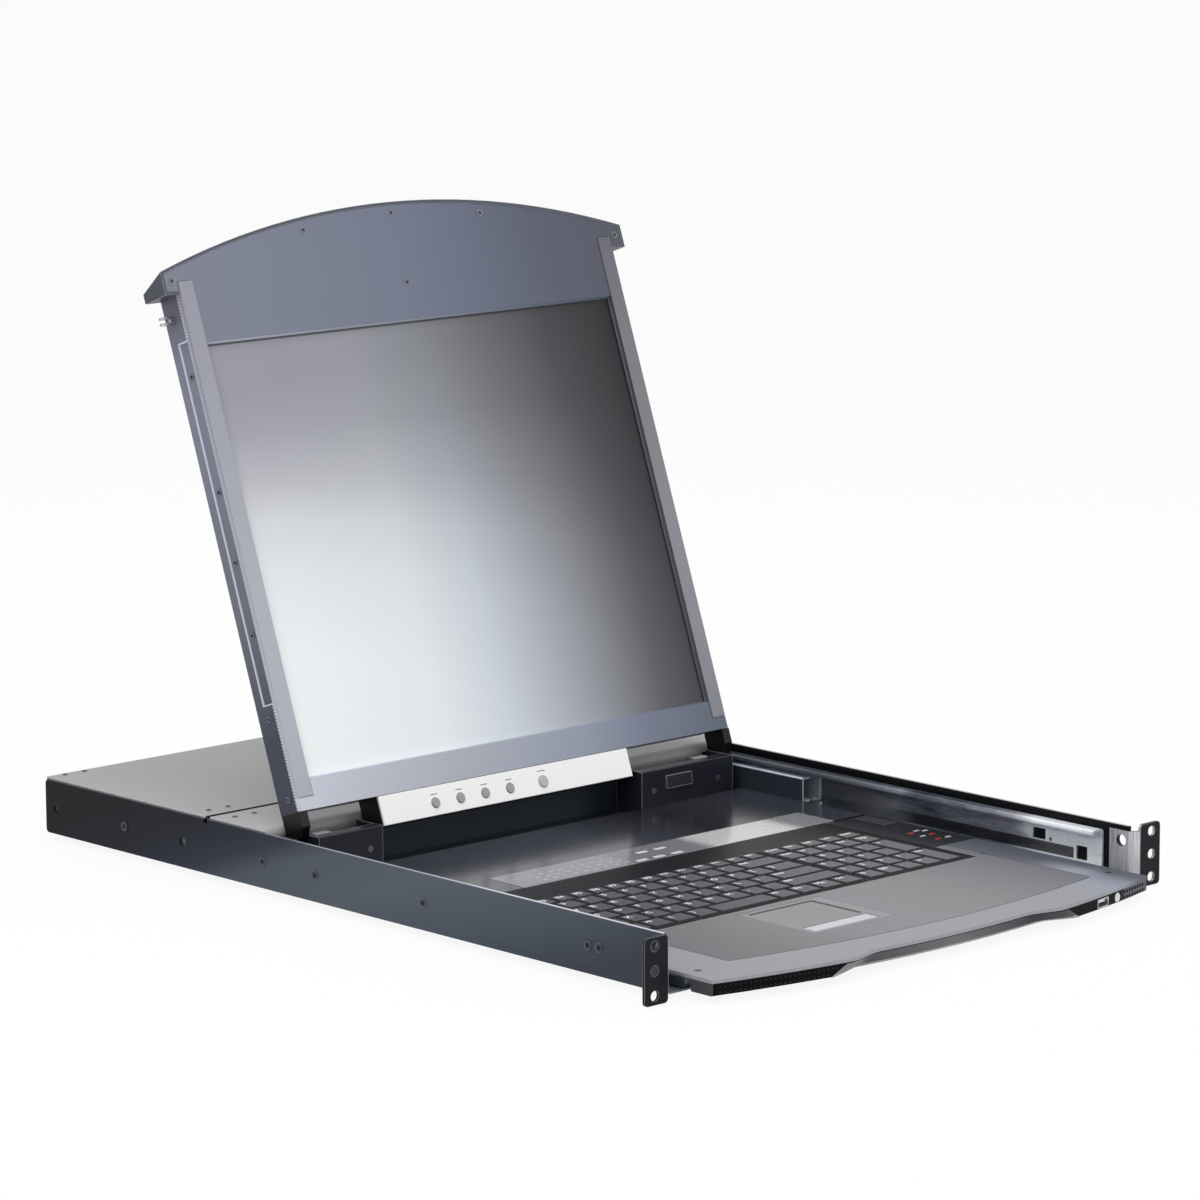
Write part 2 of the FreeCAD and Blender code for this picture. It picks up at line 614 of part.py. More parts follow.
def port():
    """One fifteen-pin socket of the switch, standing out of the rear panel at x = 0."""
    flange = block(-PORT_FLANGE_WIDTH / 2, PORT_FLANGE_WIDTH / 2, 0, PORT_FLANGE_SHEET,
                   -PORT_FLANGE_HEIGHT / 2, PORT_FLANGE_HEIGHT / 2)
    shell = d_shape(PORT_SHELL_WIDTH, PORT_SHELL_HEIGHT, 0, PORT_SHELL_DEPTH)
    shell = round_edges(shell, 1.4, lambda a, b: along(1, a, b))
    shell = shell.cut(d_shape(PORT_SHELL_WIDTH - 1.0, PORT_SHELL_HEIGHT - 1.0, 1.5,
                              PORT_SHELL_DEPTH + 1))
    body = d_shape(PORT_SHELL_WIDTH, PORT_SHELL_HEIGHT, -PORT_BODY_DEPTH, 0)
    solid = flange.fuse([shell, body])
    for side in (-1, 1):
        x = side * JACK_SPACING / 2
        corners = []
        for i in range(6):
            turn = math.radians(60 * i)
            corners.append((x + JACK_RADIUS * math.cos(turn), 0, JACK_RADIUS * math.sin(turn)))
        solid = solid.fuse(prism(corners, (0, JACK_LENGTH, 0)))
    return solid.removeSplitter()


def ports():
    """The row of sockets on the rear panel."""
    row = []
    for i in range(PORT_COUNT):
        one = port()
        one.translate(V(PORT_FIRST + PORT_SPACING * i, BODY_DEPTH, CONNECTOR_Z))
        row.append(one)
    return row


def rear_panel():
    """The rear panel with its openings for the inlet, the switch and the sockets."""
    panel = block(-WALL_INNER, WALL_INNER, PANEL_FRONT, BODY_DEPTH, BODY_BOTTOM, COVER_BOTTOM)
    panel = panel.cut(opening(INLET_X, INLET_WIDTH, INLET_HEIGHT))
    panel = panel.cut(opening(SWITCH_X, SWITCH_WIDTH, SWITCH_HEIGHT))
    cuts = []
    for i in range(PORT_COUNT):
        x = PORT_FIRST + PORT_SPACING * i
        cuts.append(opening(x, PORT_SHELL_WIDTH + 0.2, PORT_SHELL_HEIGHT + 0.2))
    return panel.cut(Part.makeCompound(cuts))


def opening(x, width, height):
    """A rectangular cutter through the rear panel."""
    return block(x - width / 2, x + width / 2, PANEL_FRONT - 1, BODY_DEPTH + 1,
                 CONNECTOR_Z - height / 2, CONNECTOR_Z + height / 2)


def power_inlet():
    """The mains inlet: a deep socket with three flat pins and two clipped corners."""
    half_x = INLET_WIDTH / 2
    half_z = INLET_HEIGHT / 2
    front = BODY_DEPTH - INLET_DEPTH
    body = block(-half_x, half_x, front, BODY_DEPTH, -half_z, half_z)
    flange = block(-half_x - 2, half_x + 2, BODY_DEPTH, BODY_DEPTH + 2.0,
                   -half_z - 1.2, half_z + 1.2)
    flange = round_edges(flange, 1.5, lambda a, b: along(1, a, b))
    wall = INLET_WALL
    clip = 4.0
    inner = [(-half_x + wall, -half_z + wall), (half_x - wall, -half_z + wall),
             (half_x - wall, half_z - wall - clip), (half_x - wall - clip, half_z - wall),
             (-half_x + wall + clip, half_z - wall), (-half_x + wall, half_z - wall - clip)]
    socket = prism([(x, front + 3, z) for x, z in inner], (0, INLET_DEPTH, 0))
    inlet = body.fuse(flange).cut(socket)
    for x, z in ((-7.0, -1.5), (0.0, 2.5), (7.0, -1.5)):
        pin = block(x - INLET_PIN_SHEET / 2, x + INLET_PIN_SHEET / 2, front + 2,
                    BODY_DEPTH - 3, z - INLET_PIN_WIDTH / 2, z + INLET_PIN_WIDTH / 2)
        inlet = inlet.fuse(pin)
    inlet.translate(V(INLET_X, 0, CONNECTOR_Z))
    return inlet.removeSplitter()


def switch_housing():
    """The frame of the mains switch, open at the rear for the rocker."""
    half_x = SWITCH_WIDTH / 2
    half_z = SWITCH_HEIGHT / 2
    body = block(-half_x, half_x, BODY_DEPTH - SWITCH_DEPTH, BODY_DEPTH, -half_z, half_z)
    flange = block(-half_x - 1.2, half_x + 1.2, BODY_DEPTH, BODY_DEPTH + 1.6,
                   -half_z - 1.2, half_z + 1.2)
    well = block(-half_x + SWITCH_FRAME, half_x - SWITCH_FRAME, BODY_DEPTH - 9, BODY_DEPTH + 3,
                 -half_z + SWITCH_FRAME, half_z - SWITCH_FRAME)
    housing = body.fuse(flange).cut(well)
    bore = rod((-half_x - 1, BODY_DEPTH - 3, 0), (1, 0, 0), 1.2 + PIN_CLEARANCE, SWITCH_WIDTH + 2)
    housing = housing.cut(bore)
    housing.translate(V(SWITCH_X, 0, CONNECTOR_Z))
    return housing.removeSplitter()


def switch_rocker():
    """The rocker of the mains switch, on a pin through its housing, tipped to one side."""
    half_x = SWITCH_WIDTH / 2 - SWITCH_FRAME - ROCKER_CLEARANCE
    half_z = SWITCH_HEIGHT / 2 - SWITCH_FRAME - 1.2
    points = [(-half_x, -1.5, -half_z + 1.5), (-half_x, 3.6, -half_z), (-half_x, 2.6, 0),
              (-half_x, 3.6, half_z), (-half_x, -1.5, half_z - 1.5)]
    rocker = prism(points, (2 * half_x, 0, 0))
    pin = rod((-SWITCH_WIDTH / 2, 0, 0), (1, 0, 0), 1.2, SWITCH_WIDTH)
    rocker = rocker.fuse(pin)
    rocker.rotate(V(0, 0, 0), V(1, 0, 0), ROCKER_ANGLE)
    rocker.translate(V(SWITCH_X, BODY_DEPTH - 3, CONNECTOR_Z))
    return rocker


def console_board():
    """The circuit board behind the sockets, on standoffs, with its larger parts."""
    bottom = PAN_TOP + BOARD_STANDOFF
    y0 = BAY_FRONT + BOARD_FRONT_GAP
    y1 = BODY_DEPTH - PORT_BODY_DEPTH - BOARD_MARGIN
    board = block(BOARD_LEFT, BOARD_RIGHT, y0, y1, bottom, bottom + BOARD_SHEET)
    for x in (BOARD_LEFT + 6, (BOARD_LEFT + BOARD_RIGHT) / 2, BOARD_RIGHT - 6):
        for y in (y0 + 6, y1 - 6):
            board = board.fuse(rod((x, y, PAN_TOP), (0, 0, 1), STANDOFF_RADIUS, BOARD_STANDOFF))
    top = bottom + BOARD_SHEET
    for share, gap, width, depth, height in (
            (0.218, 48.5, 28, 28, 3.2), (0.456, 38.5, 20, 20, 2.4), (0.640, 66.5, 24, 24, 2.4),
            (0.864, 22.0, 16, 36, 9.0)):
        x = BOARD_LEFT + share * (BOARD_RIGHT - BOARD_LEFT)
        y = y0 + gap
        board = board.fuse(block(x - width / 2, x + width / 2, y - depth / 2, y + depth / 2,
                                 top, top + height))
    return board.removeSplitter()


def power_supply():
    """The enclosed power supply beside the board."""
    x0 = -BAY_WIDTH / 2 + BAY_SHEET + 2
    y0 = BAY_FRONT + BAY_SHEET + SUPPLY_FRONT_GAP
    box = block(x0, x0 + SUPPLY_WIDTH, y0, y0 + SUPPLY_DEPTH, PAN_TOP, PAN_TOP + SUPPLY_HEIGHT)
    box = round_edges(box, 1.5, lambda a, b: along(1, a, b) and a.z > 0)
    slots = []
    for i in range(10):
        y = y0 + 14 + i * 9
        slots.append(block(x0 + 18, x0 + SUPPLY_WIDTH - 18, y, y + 3,
                           PAN_TOP + SUPPLY_HEIGHT - 1.2, PAN_TOP + SUPPLY_HEIGHT + 1))
    return box.cut(Part.makeCompound(slots))


# ---------------------------------------------------------------- keyboard tray
def front_y(x, inset=0.0):
    """The front edge of the tray at one place across it."""
    return FRONT_CENTRE - math.sqrt((FRONT_RADIUS - inset) ** 2 - x ** 2)


def front_arc(x0, x1, inset, z):
    """A piece of the bowed front edge, moved back by an inset."""
    middle = (x0 + x1) / 2
    return arc((x0, front_y(x0, inset), z), (middle, front_y(middle, inset), z),
               (x1, front_y(x1, inset), z))


def bowed(half, inset, back, z0, z1):
    """A slab between the bowed front and a straight back edge."""
    edge = front_y(half, inset)
    face = outline([
        front_arc(-half, half, inset, z0),
        line((half, edge, z0), (half, back, z0)),
        line((half, back, z0), (-half, back, z0)),
        line((-half, back, z0), (-half, edge, z0)),
    ])
    return face.extrude(V(0, 0, z1 - z0))


def grip_wire(outer, slope, depth, z):
    """The outline of the grip at one height: a shallow bay with curved ends."""
    inner = outer - slope
    middle = (outer + inner) / 2
    y_outer = front_y(outer) - GRIP_OVERRUN
    y_inner = front_y(inner, depth)
    far = -FRONT_REACH - 20
    edges = [front_arc(-inner, inner, depth, z)]
    for side in (1, -1):
        curve = Part.BSplineCurve()
        points = [
            V(side * inner, y_inner, z),
            V(side * (inner + slope * 0.25), y_inner + (y_outer - y_inner) * 0.14, z),
            V(side * middle, (y_outer + y_inner) / 2, z),
            V(side * (outer - slope * 0.25), y_outer - (y_outer - y_inner) * 0.14, z),
            V(side * outer, y_outer, z),
        ]
        curve.interpolate(points)
        edges.append(curve.toShape())
    edges.append(line((outer, y_outer, z), (outer, far, z)))
    edges.append(line((outer, far, z), (-outer, far, z)))
    edges.append(line((-outer, far, z), (-outer, y_outer, z)))
    return Part.Wire(Part.__sortEdges__(edges))


def grip_cut(z0, z1):
    """What the grip takes out of the palm rest."""
    face = Part.Face(grip_wire(GRIP_WIDTH / 2, GRIP_SLOPE, GRIP_DEPTH, z0))
    return face.extrude(V(0, 0, z1 - z0))


def grip_level(z, grow):
    """The outline of the grip below the palm rest: wider and deeper towards the foot."""
    fall = (DECK_UNDER - z) / (DECK_UNDER - BODY_BOTTOM)
    outer = GRIP_WIDTH / 2 + GRIP_SPREAD * fall + grow * 1.5
    depth = GRIP_DEPTH + LIP_SETBACK + GRIP_DRAFT * fall + grow
    return grip_wire(outer, GRIP_SLOPE, depth, z)


def grip_bay(grow):
    """What the grip takes out below the palm rest, grown by the walls behind it."""
    return Part.makeLoft([grip_level(BODY_BOTTOM - 1, grow), grip_level(DECK_UNDER + 1, grow)],
                         True, True)


def grip_foot():
    """What slants off the lower edge of the grip."""
    return Part.makeLoft([grip_level(BODY_BOTTOM - 1, LIP_FOOT * 1.5),
                          grip_level(BODY_BOTTOM + LIP_FOOT, -0.3)], True, True)


def panel(x0, x1, y0, y1, top, foot, rib=1.6):
    """A moulded deck panel with a rib along each edge that stands on the part below."""
    plate = block(x0, x1, y0, y1, foot, top)
    hollow = block(x0 + rib, x1 - rib, y0 + rib, y1 - rib, foot - 1, top - DECK_SHEET)
    solid = plate.cut(hollow)
    return round_edges(solid, 0.5,
                       lambda a, b: a.z > top - 1e-4 and b.z > top - 1e-4)


def tray_pan():
    """The sheet-metal tray: floor, low sides and the two long plates that carry the slides."""
    back = EAR_SHEET + 1.0
    floor = block(-INNER_WEB, INNER_WEB, back, TRAY_END, TRAY_BOTTOM, TRAY_FLOOR)
    nose = bowed(TRAY_HALF - BEZEL_SHEET, BEZEL_SHEET, back, TRAY_BOTTOM, TRAY_FLOOR)
    pan = floor.fuse(nose.cut(grip_bay(2 * BEZEL_SHEET)))
    pan = pan.cut(front_part(usb_clearance(), USB_X))
    pan = pan.cut(front_part(reset_clearance(), RESET_X))
    sheet = PAN_SHEET
    for side in (-1, 1):
        a = side * INNER_WEB
        b = side * (INNER_WEB - sheet)
        x0 = min(a, b)
        x1 = max(a, b)
        pan = pan.fuse(block(x0, x1, back, INNER_START, TRAY_BOTTOM, DECK_UNDER))
        pan = pan.fuse(block(x0, x1, INNER_START, TRAY_END, TRAY_BOTTOM, INNER_HALF_HEIGHT - 1))
        pan = pan.fuse(block(x0, x1, TRAY_END - 1, INNER_END, 1 - INNER_HALF_HEIGHT,
                             INNER_HALF_HEIGHT - 1))
        pan = pan.fuse(block(x0, x1, HINGE_Y - 6, MIDDLE_COVER_START - 1, 0, COVER_BOTTOM - 4))
    return pan.removeSplitter()


def palm_rest():
    """The palm rest: bowed front, a grip bay, and a place for the touchpad."""
    half = TRAY_HALF - 1.0
    slab = bowed(TRAY_HALF, 0.0, KEYBOARD_FRONT, DECK_UNDER, DECK_TOP)
    slab = slab.fuse(block(KEYBOARD_RIGHT + 0.6, TRAY_HALF, KEYBOARD_FRONT - 1,
                           LOCK_START, DECK_UNDER, DECK_TOP))
    slab = slab.cut(grip_cut(DECK_UNDER - 1, DECK_TOP + 1)).removeSplitter()
    ribs = [
        block(-half, half, KEYBOARD_FRONT - 1.6, KEYBOARD_FRONT, TRAY_FLOOR, DECK_UNDER),
        block(-half, -half + 1.6, 4, KEYBOARD_FRONT, TRAY_FLOOR, DECK_UNDER),
        block(half - 1.6, half, 4, LOCK_START, TRAY_FLOOR, DECK_UNDER),
        block(-half, half, 4, 5.6, TRAY_FLOOR, DECK_UNDER),
    ]
    slab = slab.fuse(ribs)
    for x0, x1, y0, y1 in touch_places():
        slab = slab.cut(block(x0, x1, y0, y1, DECK_UNDER - 1, DECK_TOP + 1))
    holes = [((TRAY_HALF - 28.7, KEYBOARD_FRONT + 4.0), 2.0)]
    for side in (-1, 1):
        holes.append(((side * (TRAY_HALF - CATCH_INSET), CATCH_Y), CATCH_RADIUS))
    for (x, y), radius in holes:
        slab = slab.cut(rod((x, y, DECK_UNDER - 1), (0, 0, 1), radius, DECK_SHEET + 2))
    return slab.removeSplitter()


def touch_places():
    """The openings for the touchpad and its two buttons."""
    half = TOUCH_WIDTH / 2
    button_back = TOUCH_FRONT - TOUCH_BUTTON_GAP
    return (
        (TOUCH_CENTRE - half - 0.3, TOUCH_CENTRE + half + 0.3,
         TOUCH_FRONT - 0.3, TOUCH_FRONT + TOUCH_DEPTH + 0.3),
        (TOUCH_CENTRE - half, TOUCH_CENTRE + half,
         button_back - TOUCH_BUTTON_DEPTH, button_back),
    )


def touchpad():
    """The touchpad and the carrier that holds it and its buttons in the palm rest."""
    half = TOUCH_WIDTH / 2
    top = DECK_TOP - TOUCH_RECESS
    pad = block(TOUCH_CENTRE - half, TOUCH_CENTRE + half, TOUCH_FRONT,
                TOUCH_FRONT + TOUCH_DEPTH, TRAY_FLOOR, top)
    pad = round_edges(pad, 0.6, lambda a, b: a.z > top - 1e-4 and b.z > top - 1e-4)
    hollow = block(TOUCH_CENTRE - half + 2, TOUCH_CENTRE + half - 2, TOUCH_FRONT + 2,
                   TOUCH_FRONT + TOUCH_DEPTH - 2, TRAY_FLOOR - 1, top - TOUCH_SHEET)
    pad = pad.cut(hollow)
    x0, x1, y0, y1 = touch_places()[1]
    carrier = block(x0, x1, y0, TOUCH_FRONT + 1, TRAY_FLOOR, TRAY_FLOOR + 1.6)
    return pad.fuse(carrier).removeSplitter()


def touch_button(side):
    """One button under the touchpad."""
    x0, x1, y0, y1 = touch_places()[1]
    slit = BUTTON_SLIT
    if side < 0:
        left = x0 + slit
        right = TOUCH_CENTRE - slit / 2
    else:
        left = TOUCH_CENTRE + slit / 2
        right = x1 - slit
    top = DECK_TOP - 0.2
    cap = block(left, right, y0 + slit, y1 - slit, top - 2.6, top)
    cap = round_edges(cap, 0.5, lambda a, b: a.z > top - 1e-4 and b.z > top - 1e-4)
    stem = block((left + right) / 2 - 3, (left + right) / 2 + 3, (y0 + y1) / 2 - 2,
                 (y0 + y1) / 2 + 2, top - 2.6 - TOUCH_BUTTON_TRAVEL - 0.6, top - 2.6)
    return cap.fuse(stem).removeSplitter()


def front_bezel():
    """The black front of the tray, under the palm rest, open where the grip passes."""
    bottom = BODY_BOTTOM
    outer = bowed(TRAY_HALF, 0.0, BEZEL_END, bottom, DECK_UNDER)
    outer = round_edges(outer, BEZEL_ROUND, lambda a, b: a.z < bottom + 0.1 and b.z < bottom + 0.1
                        and max(a.y, b.y) < BEZEL_END - 1)
    inner = bowed(TRAY_HALF - BEZEL_SHEET, BEZEL_SHEET, BEZEL_END + 1, bottom - 1, DECK_UNDER + 1)
    shell = outer.cut(inner).fuse(outer.common(grip_bay(2 * BEZEL_SHEET)))
    shell = shell.cut(grip_bay(BEZEL_SHEET))
    shell = shell.cut(front_part(usb_clearance(), USB_X))
    shell = shell.cut(front_part(reset_clearance(), RESET_X))
    return shell.removeSplitter()


def handle_lip():
    """The smooth wall of the grip: it curves in from the bezel at each end."""
    bottom = BODY_BOTTOM
    slab = bowed(TRAY_HALF - BEZEL_SHEET, 0.0, BEZEL_END, bottom, DECK_UNDER - LIP_GAP)
    wall = slab.common(grip_bay(BEZEL_SHEET)).cut(grip_bay(0.0))
    return wall.cut(grip_foot()).removeSplitter()


def front_part(shape, x):
    """Turns a shape made at the middle of the bowed front to its place across it."""
    placed = shape.copy()
    angle = math.degrees(math.asin(x / FRONT_RADIUS))
    placed.rotate(V(0, FRONT_CENTRE, 0), V(0, 0, 1), angle)
    return placed


def usb_z():
    """Height of the middle of the front controls."""
    return (BODY_BOTTOM + DECK_UNDER) / 2


def usb_clearance():
    """The cutter that makes room for the front socket."""
    half = USB_WIDTH / 2 + 0.2
    tall = USB_HEIGHT / 2 + 0.2
    return block(-half, half, -FRONT_REACH - 2, -FRONT_REACH + USB_LENGTH + 0.3,
                 usb_z() - tall, usb_z() + tall)


def usb_socket():
    """The front socket: a rectangular metal shell around a tongue."""
    half = USB_WIDTH / 2
    tall = USB_HEIGHT / 2
    front = -FRONT_REACH - 0.3
    shell = block(-half, half, front, front + USB_LENGTH, usb_z() - tall, usb_z() + tall)
    cavity = block(-half + USB_WALL, half - USB_WALL, front - 1, front + USB_LENGTH - 2,
                   usb_z() - tall + USB_WALL, usb_z() + tall - USB_WALL)
    tongue = block(-half + 2, half - 2, front + 1.5, front + USB_LENGTH - 1,
                   usb_z() + 0.1, usb_z() + 0.1 + USB_TONGUE)
    return front_part(shell.cut(cavity).fuse(tongue).removeSplitter(), USB_X)


def reset_clearance():
    """The cutter for the round button beside the front socket."""
    return rod((0, -FRONT_REACH - 2, usb_z()), (0, 1, 0), RESET_RADIUS + BUTTON_CLEARANCE,
               RESET_LENGTH + 4)


def reset_button():
    """The round button beside the front socket."""
    start = -FRONT_REACH - RESET_PROUD
    body = rod((0, start, usb_z()), (0, 1, 0), RESET_RADIUS, RESET_LENGTH)
    body = body.makeChamfer(0.5, [e for e in body.Edges if abs(e.BoundBox.YMax - start) < 1e-6])
    return front_part(body, RESET_X)


def key(x, y, width, depth):
    """One key: a low tapered cap on a square plunger."""
    side = KEY_TAPER
    cap = Part.makeWedge(0, 0, 0, side, side, width, KEY_HEIGHT, depth,
                         depth - side * 0.6, width - side)
    cap.rotate(V(0, 0, 0), V(1, 0, 0), 90)
    cap.translate(V(x, y + depth, KEY_BOTTOM))
    return cap.fuse(plunger(x, y, width, depth, 0.0, KEYBOARD_BASE - 0.9, KEY_BOTTOM))


def plunger(x, y, width, depth, margin, z0, z1):
    """The plunger under one key, or with a margin the guide hole it runs in."""
    half = PLUNGER_WIDTH / 2 + margin
    middle_x = x + width / 2
    middle_y = y + depth / 2
    return block(middle_x - half, middle_x + half, middle_y - half, middle_y + half, z0, z1)


def key_spots(widths, left, row, depth=None):
    """Where the keys of one row lie: corner, width and depth, from widths in key units."""
    spots = []
    x = left
    front = KEYS_FRONT + row * ROW_PITCH
    if depth is None:
        depth = ROW_PITCH - KEY_GAP
    for units in widths:
        width = units * KEY_UNIT
        if width > 0:
            spots.append((x + KEY_GAP / 2, front, width - KEY_GAP, depth))
        x += abs(width)
    return spots


def pad_spots():
    """The pad at the right: five columns, with two double keys in the last one."""
    spots = []
    for row in range(5):
        columns = PAD_COLUMNS if row == 4 else PAD_COLUMNS - 1
        spots += key_spots([1] * columns, PAD_LEFT, row)
        if row in (0, 2):
            spots.append((PAD_LEFT + KEY_UNIT * (PAD_COLUMNS - 1) + KEY_GAP / 2,
                          KEYS_FRONT + row * ROW_PITCH, KEY_UNIT - KEY_GAP,
                          2 * ROW_PITCH - KEY_GAP))
    return spots + key_spots([1] * PAD_COLUMNS, PAD_LEFT, 5, FUNCTION_DEPTH)


def key_groups():
    """Every key by the group it moves with. A negative width leaves a space."""
    return {
        "space_bar": key_spots([-6.6, 3], KEYS_LEFT, 0),
        "bottom_keys": key_spots([1.1] * 6 + [-3] + [1.1] * 4, KEYS_LEFT, 0),
        "lower_keys": key_spots([2.25] + [1] * 9 + [2.75], KEYS_LEFT, 1),
        "home_keys": key_spots([1.75] + [1] * 10 + [2.25], KEYS_LEFT, 2),
        "upper_keys": key_spots([1.5] + [1] * 11 + [1.5], KEYS_LEFT, 3),
        "number_keys": key_spots([1] * 12 + [2], KEYS_LEFT, 4),
        "function_keys": key_spots([0.875] * 16, KEYS_LEFT, 5, FUNCTION_DEPTH),
        "number_pad": pad_spots(),
    }


def keyboard_base():
    """The plate under the keys, on a rim that stands on the tray floor."""
    top = KEYBOARD_BASE
    foot = TRAY_FLOOR
    plate = block(-TRAY_HALF + 0.4, KEYBOARD_RIGHT, KEYBOARD_FRONT + 0.4, STRIP_FRONT - 0.4,
                  foot, top)
    hollow = block(-TRAY_HALF + 2.4, KEYBOARD_RIGHT - 2, KEYBOARD_FRONT + 2.4,
                   STRIP_FRONT - 2.4, foot - 1, top - KEYBOARD_FLOOR)
    holes = []
    for spots in key_groups().values():
        for spot in spots:
            holes.append(plunger(*spot, PLUNGER_CLEARANCE, foot - 1, top + 1))
    return plate.cut(hollow).cut(Part.makeCompound(holes))


def keyboard_frame():
    """The frame around the keys: one opening for the main block and one for the pad."""
    top = DECK_TOP
    frame = block(-TRAY_HALF, KEYBOARD_RIGHT, KEYBOARD_FRONT + 0.3, STRIP_FRONT - 0.3,
                  DECK_UNDER, top)
    rim = block(-TRAY_HALF + 0.4, KEYBOARD_RIGHT, KEYBOARD_FRONT + 0.4, STRIP_FRONT - 0.4,
                KEYBOARD_BASE, DECK_UNDER)
    gap = KEY_WELL_GAP
    rim_cut = block(KEYS_LEFT - gap, KEYS_RIGHT + gap, KEYS_FRONT - gap,
                    KEYS_BACK - KEY_GAP + gap, KEYBOARD_BASE - 1, DECK_UNDER + 1)
    frame = frame.fuse(rim.cut(rim_cut))
    wells = [
        block(KEYS_LEFT - gap, PAD_LEFT - PAD_GAP + gap, KEYS_FRONT - gap,
              KEYS_BACK - KEY_GAP + gap, DECK_UNDER - 1, top + 1),
        block(PAD_LEFT - gap, KEYS_RIGHT + gap, KEYS_FRONT - gap,
              KEYS_BACK - KEY_GAP + gap, DECK_UNDER - 1, top + 1),
    ]
    for well in wells:
        frame = frame.cut(well)
    return frame.removeSplitter()


def port_strip():
    """The light strip of indicators behind the keys."""
    return panel(STRIP_LEFT, STRIP_LEFT + STRIP_WIDTH, STRIP_FRONT, STRIP_FRONT + STRIP_DEPTH,
                 DECK_TOP + STRIP_PROUD, TRAY_FLOOR)


def lock_panel():
    """The narrow panel beside the number pad."""
    return panel(TRAY_HALF - LOCK_WIDTH, TRAY_HALF, LOCK_START + 0.3, LOCK_START + LOCK_DEPTH,
                 DECK_TOP, TRAY_FLOOR)


def rear_deck():
    """The deck between the keys and the hinge boxes, around the strip of indicators."""
    front = STRIP_FRONT + 0.3
    back = BOX_FRONT - 1.0
    slab = block(-TRAY_HALF, TRAY_HALF, front, back, DECK_UNDER, DECK_TOP)
    hole = block(STRIP_LEFT - 0.3, STRIP_LEFT + STRIP_WIDTH + 0.3, front - 1,
                 STRIP_FRONT + STRIP_DEPTH + 0.3, DECK_UNDER - 1, DECK_TOP + 1)
    slab = slab.cut(hole)
    ribs = []
    for y in (REAR_DECK_START, back - 1.6):
        ribs.append(block(-TRAY_HALF + 1, TRAY_HALF - 1, y, y + 1.6, TRAY_FLOOR, DECK_UNDER))
    for x in (-TRAY_HALF + 1, TRAY_HALF - 2.6):
        ribs.append(block(x, x + 1.6, front + 1, back, TRAY_FLOOR, DECK_UNDER))
    return slab.fuse(ribs).removeSplitter()


def hinge_box(x0, x1, outer_end):
    """A sheet-metal box that hides one hinge: face, folded top edge, ends and foot."""
    sheet = BOX_SHEET
    face = block(x0, x1, BOX_FRONT, BOX_FRONT + sheet, TRAY_FLOOR, BOX_TOP)
    top = block(x0, x1, BOX_FRONT, BOX_FRONT + BOX_FLANGE, BOX_TOP - sheet, BOX_TOP)
    foot = block(x0, x1, BOX_FRONT, BOX_FRONT + BOX_FLANGE, TRAY_FLOOR, TRAY_FLOOR + sheet)
    box = face.fuse([top, foot])
    for x in (x0, x1 - sheet):
        box = box.fuse(block(x, x + sheet, BOX_FRONT, HINGE_Y + 9.0, TRAY_FLOOR, BOX_TOP))
    if outer_end < 0:
        start = x0 - 1
    else:
        start = x1 - sheet - 1
    box = box.cut(rod((start, HINGE_Y, HINGE_Z), (1, 0, 0), PIN_RADIUS + 0.4, sheet + 2))
    box = box.removeSplitter()
    if outer_end > 0:
        step = prism([(STEP_LEFT, BOX_FRONT, STEP_TOP), (STEP_LEFT, BOX_FRONT - 0.6, STEP_TOP),
                      (STEP_LEFT, BOX_FRONT - STEP_PROUD, STEP_BOTTOM),
                      (STEP_LEFT, BOX_FRONT, STEP_BOTTOM)], (STEP_WIDTH, 0, 0))
        box = box.fuse(step).removeSplitter()
    return round_edges(box, 0.7, lambda a, b: along(0, a, b) and a.z > BOX_TOP - 1e-4
                       and a.y < BOX_FRONT + 1e-4)


def hinge_pivot():
    """The right pivot: a block on the tray floor with a turned pin that carries the arm."""
    inner = ARM_OUTER - PIN_LENGTH
    base = block(inner, inner + HINGE_BLOCK_WIDTH, HINGE_Y - HINGE_BLOCK_WIDTH * 4 / 7,
                 HINGE_Y + HINGE_BLOCK_WIDTH * 4 / 7, TRAY_FLOOR,
                 HINGE_Z + 5.5)
    base = round_edges(base, 4.0, lambda a, b: along(0, a, b) and a.z > HINGE_Z)
    pin = rod((inner + 1, HINGE_Y, HINGE_Z), (1, 0, 0), PIN_RADIUS, PIN_LENGTH)
    return base.fuse(pin).removeSplitter()


def tray_box():
    """The low box across the rear of the tray, under the middle cover."""
    half = BAY_WIDTH / 2 - 1
    y0 = MIDDLE_COVER_START + MIDDLE_COVER_ROLL
    ring = block(-half, half, y0, TRAY_END, TRAY_FLOOR, COVER_BOTTOM)
    inside = block(-half + BAY_SHEET, half - BAY_SHEET, y0 + BAY_SHEET, TRAY_END - BAY_SHEET,
                   TRAY_FLOOR - 1, COVER_BOTTOM + 1)
    ring = ring.cut(inside)
    passage = block(-18, 18, TRAY_END - BAY_SHEET - 1, TRAY_END + 1, TRAY_FLOOR + 4,
                    TRAY_FLOOR + 18)
    return ring.cut(passage)


